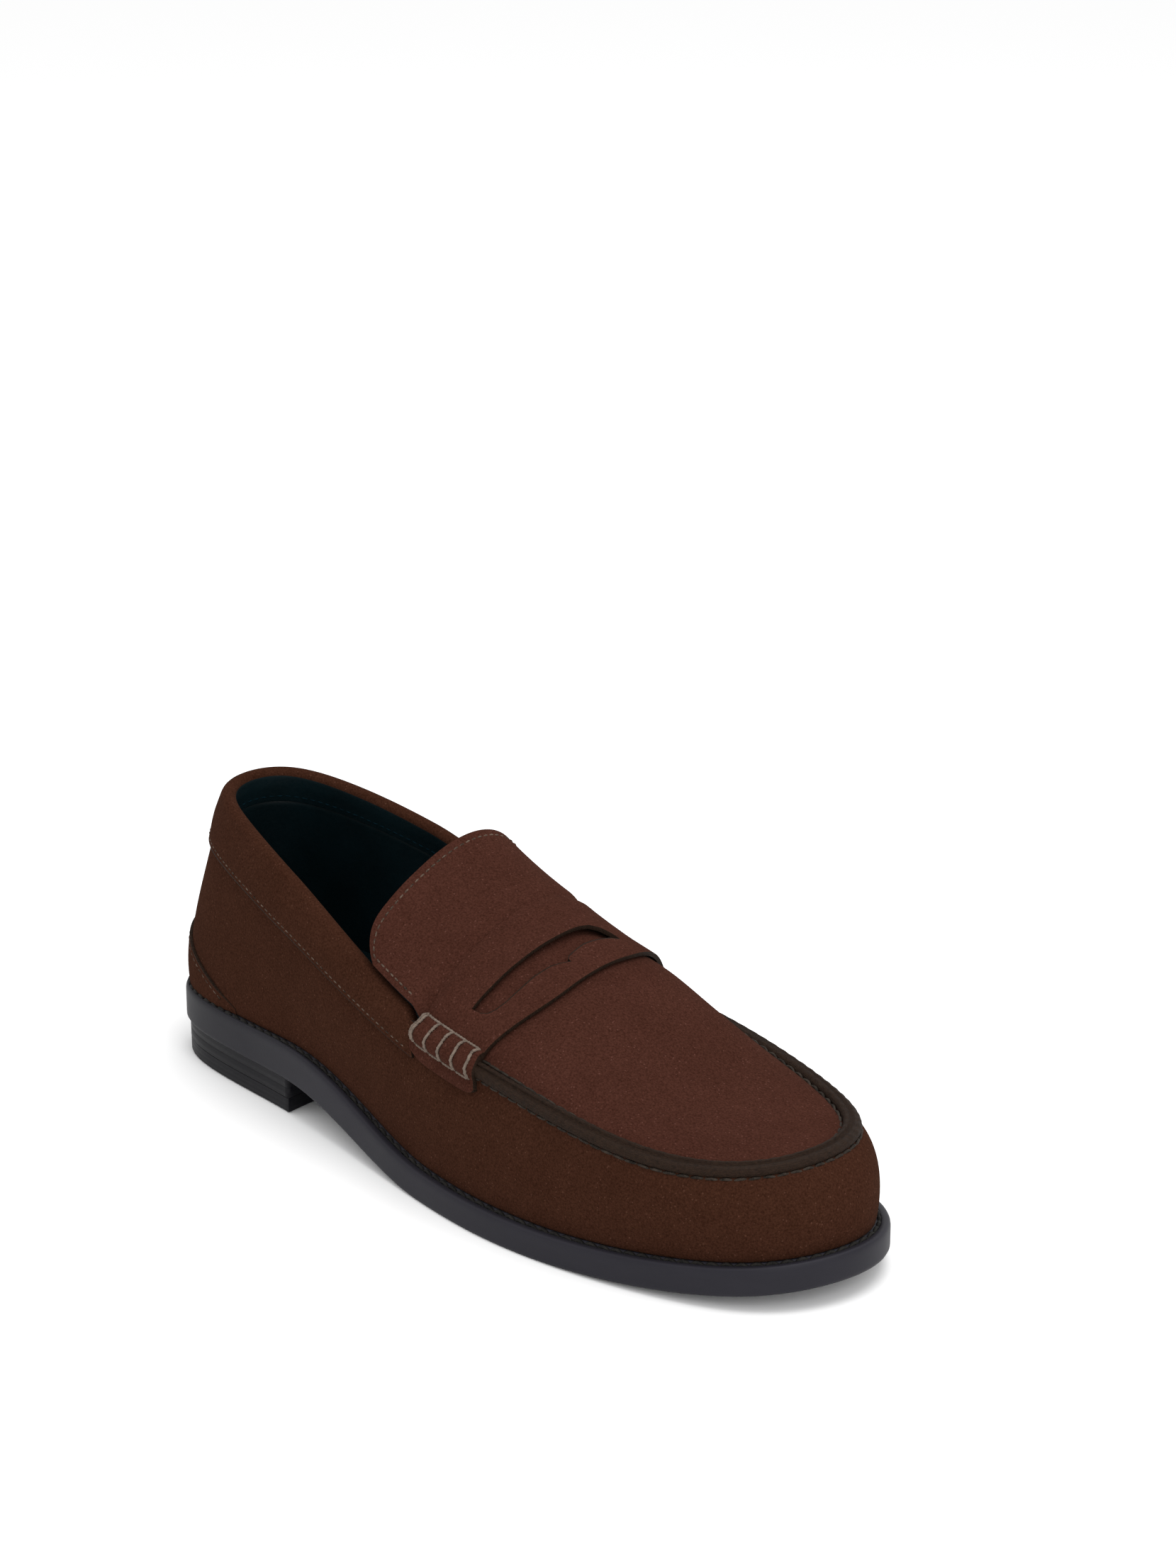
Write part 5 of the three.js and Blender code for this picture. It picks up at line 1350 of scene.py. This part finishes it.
def build_roll(finish_of, inner):
    """A side roll, the tab below it and the thread that lashes them."""
    side = "inner" if inner else "outer"
    fraction = np.linspace(0, 1, 130)
    c = np.linspace(0, 1, 36)
    high = roll_skin(inner, fraction[:, None], c[None])
    ground, face = roll_frame(inner, fraction[:, None], c[None])
    piece = leather_sheet(f"side_roll_{side}", ground - 0.7 * face, high, [finish_of["apron"], finish_of["edge"]])
    settle(round_edges(piece, 0.5, 3, 50), "shoe", f"roll_{side}", slot="suede_apron")
    depth = np.linspace(0, 1, 30)
    s = np.linspace(0, 1, 90)
    rounding = 2.4 * np.abs(2 * s - 1) ** 6
    down = lerp(0.6, TAB_REACH - rounding[:, None], depth[None])
    station = station_at(along(lerp(-ROLL_PAST, STRAP_WIDTH_AT_ROLL + ROLL_PAST, s)), inner)[:, None]
    face = CLEARANCE + LEATHER - 0.45 * smoothstep(down, TAB_REACH - 2.5, TAB_REACH)
    piece = leather_sheet(f"side_tab_{side}", from_rim(station, -down, 0.05), from_rim(station, -down, face),
                          [finish_of["apron"], finish_of["edge"]])
    settle(round_edges(piece, 0.35, 3), "shoe", f"strap_tab_{side}", slot="suede_apron")
    thread = thread_piece(f"side_lashing_{side}", cord_tree(), lashing_lines(inner),
                          {"Thread Radius": 0.6 * MM, "Twist Length": 4.2 * MM, "Plies": 3,
                           "Thread": finish_of["lashing"]})
    settle(thread, "shoe", f"roll_lashing_{side}", slot="lashing_thread")


# ---------- hidden nodes ----------


def dress_hidden(finish_of):
    """Finishes for the frame's own nodes that show only from below or where the shoe is open."""
    board = finish("insole board", "cut_leather",
                   {"Colour": (0.2, 0.15, 0.09, 1), "Pale Colour": (0.34, 0.27, 0.18, 1)}, 0.3, 0.0003,
                   {"Specular IOR Level": 0.2})
    cork = finish("cork", "rubber_skin", {"Colour": (0.3, 0.16, 0.07, 1), "Dust": 0.6}, 0.5, 0.0005,
                  {"Specular IOR Level": 0.1})
    foam = finish("foam", "rubber_skin", {"Colour": (0.5, 0.47, 0.38, 1), "Dust": 0.4}, 0.5, 0.0004,
                  {"Specular IOR Level": 0.1})
    steel = finish("nail steel", "pebble_grain", {"Colour": (0.32, 0.33, 0.34, 1), "Pebble Scale": 1500.0}, 0.1,
                   0.0001, {"Metallic": 1.0})
    worn = {"insole_board": board, "heel_counter": board, "toe_puff": board, "cork_filler": cork, "heel_pad": foam,
            "shank": steel}
    worn.update({f"heel_nail_{number}": steel for number in range(1, 6)})
    for node, material in worn.items():
        mesh_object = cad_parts[node]
        while len(mesh_object.material_slots) < 1:
            mesh_object.data.materials.append(None)
        for holder in mesh_object.material_slots:
            holder.link = "OBJECT"
            holder.material = material


# ---------- settings ----------


def swatch(name, description, default):
    """A colour setting."""
    return bpy.props.FloatVectorProperty(name=name, description=description, subtype="COLOR", size=3, min=0, max=1,
                                         default=default)


class LoaferFinish(bpy.types.PropertyGroup):
    """Colours and surface sizes of the loafer."""

    wall_colour: swatch("Wall suede", "Colour of the side wall, collar and heel leather", (0.0335, 0.0128, 0.0073))
    apron_colour: swatch("Apron suede", "Colour of the apron, strap and tongue", (0.043, 0.0155, 0.0104))
    edge_colour: swatch("Cut edge", "Colour of raw leather edges and the apron's ridge", (0.0095, 0.0052, 0.0032))
    lining_colour: swatch("Lining", "Colour of the lining leather", (0.0012, 0.0052, 0.0066))
    rubber_colour: swatch("Rubber", "Colour of the sole and heel", (0.0155, 0.0145, 0.0195))
    lashing_colour: swatch("Lashing", "Colour of the thread round the side rolls", (0.19, 0.145, 0.115))
    nap_scale: bpy.props.FloatProperty(
        name="Nap scale", description="Fibres of nap in a metre", min=300, max=5000, default=1500)
    specks: bpy.props.FloatProperty(
        name="Specks", description="Strength of the pale specks in the nap", subtype="FACTOR", min=0, max=1,
        default=0.35)


class LoaferStage(bpy.types.PropertyGroup):
    """The floor, light and camera."""

    focal_length: bpy.props.FloatProperty(
        name="Focal length", description="Focal length of the camera's lens, in millimetres", min=20, max=300,
        default=86.5)
    key_power: bpy.props.FloatProperty(
        name="Key light", description="Power of the main soft light", subtype="POWER", unit="POWER", min=0,
        default=11.0)
    floor_colour: swatch("Floor", "Colour of the floor", (0.95, 0.95, 0.95))


class LOAFER_OT_sole(bpy.types.Operator):
    """Make the outsole and the welt with its stitching"""

    bl_idname = "loafer.sole"
    bl_label = "Sole and Welt"

    def execute(self, context):
        made = finishes()
        build_sole(made)
        return {"FINISHED"}


class LOAFER_OT_heel(bpy.types.Operator):
    """Make the heel block and finish the nodes inside the shoe"""

    bl_idname = "loafer.heel"
    bl_label = "Heel and Inner Parts"

    def execute(self, context):
        made = finishes()
        build_heel(made)
        dress_hidden(made)
        return {"FINISHED"}


class LOAFER_OT_wall(bpy.types.Operator):
    """Make the side wall, the heel leather and the linings"""

    bl_idname = "loafer.wall"
    bl_label = "Wall and Linings"

    def execute(self, context):
        made = finishes()
        build_wall(made)
        build_heel_leather(made)
        build_linings(made)
        return {"FINISHED"}


class LOAFER_OT_collar(bpy.types.Operator):
    """Make the padded collar and its stitch rows"""

    bl_idname = "loafer.collar"
    bl_label = "Collar"

    def execute(self, context):
        build_collar(finishes())
        return {"FINISHED"}


class LOAFER_OT_apron(bpy.types.Operator):
    """Make the apron and its hand-sewn ridge"""

    bl_idname = "loafer.apron"
    bl_label = "Apron and Ridge"

    def execute(self, context):
        made = finishes()
        build_apron(made)
        build_ridge(made)
        return {"FINISHED"}


class LOAFER_OT_saddle(bpy.types.Operator):
    """Make the saddle strap with its slot, and the tongue"""

    bl_idname = "loafer.saddle"
    bl_label = "Strap and Tongue"

    def execute(self, context):
        made = finishes()
        build_strap(made)
        build_tongue(made)
        return {"FINISHED"}


class LOAFER_OT_rolls(bpy.types.Operator):
    """Make the side rolls, their tabs and lashings"""

    bl_idname = "loafer.rolls"
    bl_label = "Side Rolls"

    def execute(self, context):
        made = finishes()
        build_roll(made, False)
        build_roll(made, True)
        return {"FINISHED"}


class LOAFER_OT_stage(bpy.types.Operator):
    """Make the floor, the lights and the camera"""

    bl_idname = "loafer.stage"
    bl_label = "Stage"

    def execute(self, context):
        build_stage(context.scene.loafer_stage)
        return {"FINISHED"}


def aim(thing, place, target):
    """Puts a lamp or camera at a place and turns it to a target."""
    place, target = Vector(place), Vector(target)
    thing.location = place
    thing.rotation_euler = (target - place).to_track_quat("-Z", "Y").to_euler()


def build_stage(settings):
    """A white floor in a soft white room, a large lamp overhead and a weaker one at the side, and the camera."""
    scene = bpy.context.scene
    mesh = bpy.data.meshes.new("floor")
    size = 6.0
    mesh.from_pydata([(-size, -size, 0), (size, -size, 0), (size, size, 0), (-size, size, 0)], [], [(0, 1, 2, 3)])
    floor = bpy.data.objects.new("floor", mesh)
    scene.collection.objects.link(floor)
    pale = bpy.data.materials.new("pale floor")
    pale.use_nodes = True
    shader = pale.node_tree.nodes["Principled BSDF"]
    shader.inputs["Base Color"].default_value = colour(settings.floor_colour)
    shader.inputs["Roughness"].default_value = 1.0
    shader.inputs["Specular IOR Level"].default_value = 0.0
    mesh.materials.append(pale)
    world = bpy.data.worlds.new("soft room")
    world.use_nodes = True
    world.node_tree.nodes["Background"].inputs["Color"].default_value = (1, 1, 1, 1)
    world.node_tree.nodes["Background"].inputs["Strength"].default_value = 1.0
    scene.world = world
    scene.view_settings.view_transform = "Standard"
    lamps = (("key", (0.3, 0.1, 1.5), 1.0, settings.key_power), ("side", (1.5, -0.6, 0.9), 1.2, 9.0))
    for name, place, width, power in lamps:
        lamp = bpy.data.lights.new(name, "AREA")
        lamp.energy = power
        lamp.size = width
        holder = bpy.data.objects.new(name, lamp)
        scene.collection.objects.link(holder)
        aim(holder, place, (0, 0, 0.03))
    lens = bpy.data.cameras.new("camera")
    lens.lens = settings.focal_length
    lens.sensor_width = 36.0
    lens.clip_start, lens.clip_end = 0.05, 20.0
    camera = bpy.data.objects.new("camera", lens)
    scene.collection.objects.link(camera)
    aim(camera, (0.8365, -0.7467, 0.5177), (0.0749, -0.0357, 0.1542))
    scene.camera = camera


class LOAFER_PT_panel(bpy.types.Panel):
    """Sizes, colours and steps of the loafer"""

    bl_label = "Loafer"
    bl_idname = "LOAFER_PT_panel"
    bl_space_type = "VIEW_3D"
    bl_region_type = "UI"
    bl_category = "Loafer"

    def draw(self, context):
        for settings in (context.scene.loafer_finish, context.scene.loafer_stage):
            box = self.layout.box()
            for key in type(settings).__annotations__:
                box.prop(settings, key)
        for step in STEPS:
            self.layout.operator(step.bl_idname)


STEPS = (LOAFER_OT_sole, LOAFER_OT_heel, LOAFER_OT_wall, LOAFER_OT_collar, LOAFER_OT_apron, LOAFER_OT_saddle,
         LOAFER_OT_rolls, LOAFER_OT_stage)
CLASSES = (LoaferFinish, LoaferStage, *STEPS, LOAFER_PT_panel)


def register():
    for item in CLASSES:
        bpy.utils.register_class(item)
    bpy.types.Scene.loafer_finish = bpy.props.PointerProperty(type=LoaferFinish)
    bpy.types.Scene.loafer_stage = bpy.props.PointerProperty(type=LoaferStage)


def unregister():
    del bpy.types.Scene.loafer_stage
    del bpy.types.Scene.loafer_finish
    for item in reversed(CLASSES):
        bpy.utils.unregister_class(item)


def main():
    register()
    for step in STEPS:
        group, name = step.bl_idname.split(".")
        getattr(getattr(bpy.ops, group), name)()


if __name__ == "__main__":
    main()
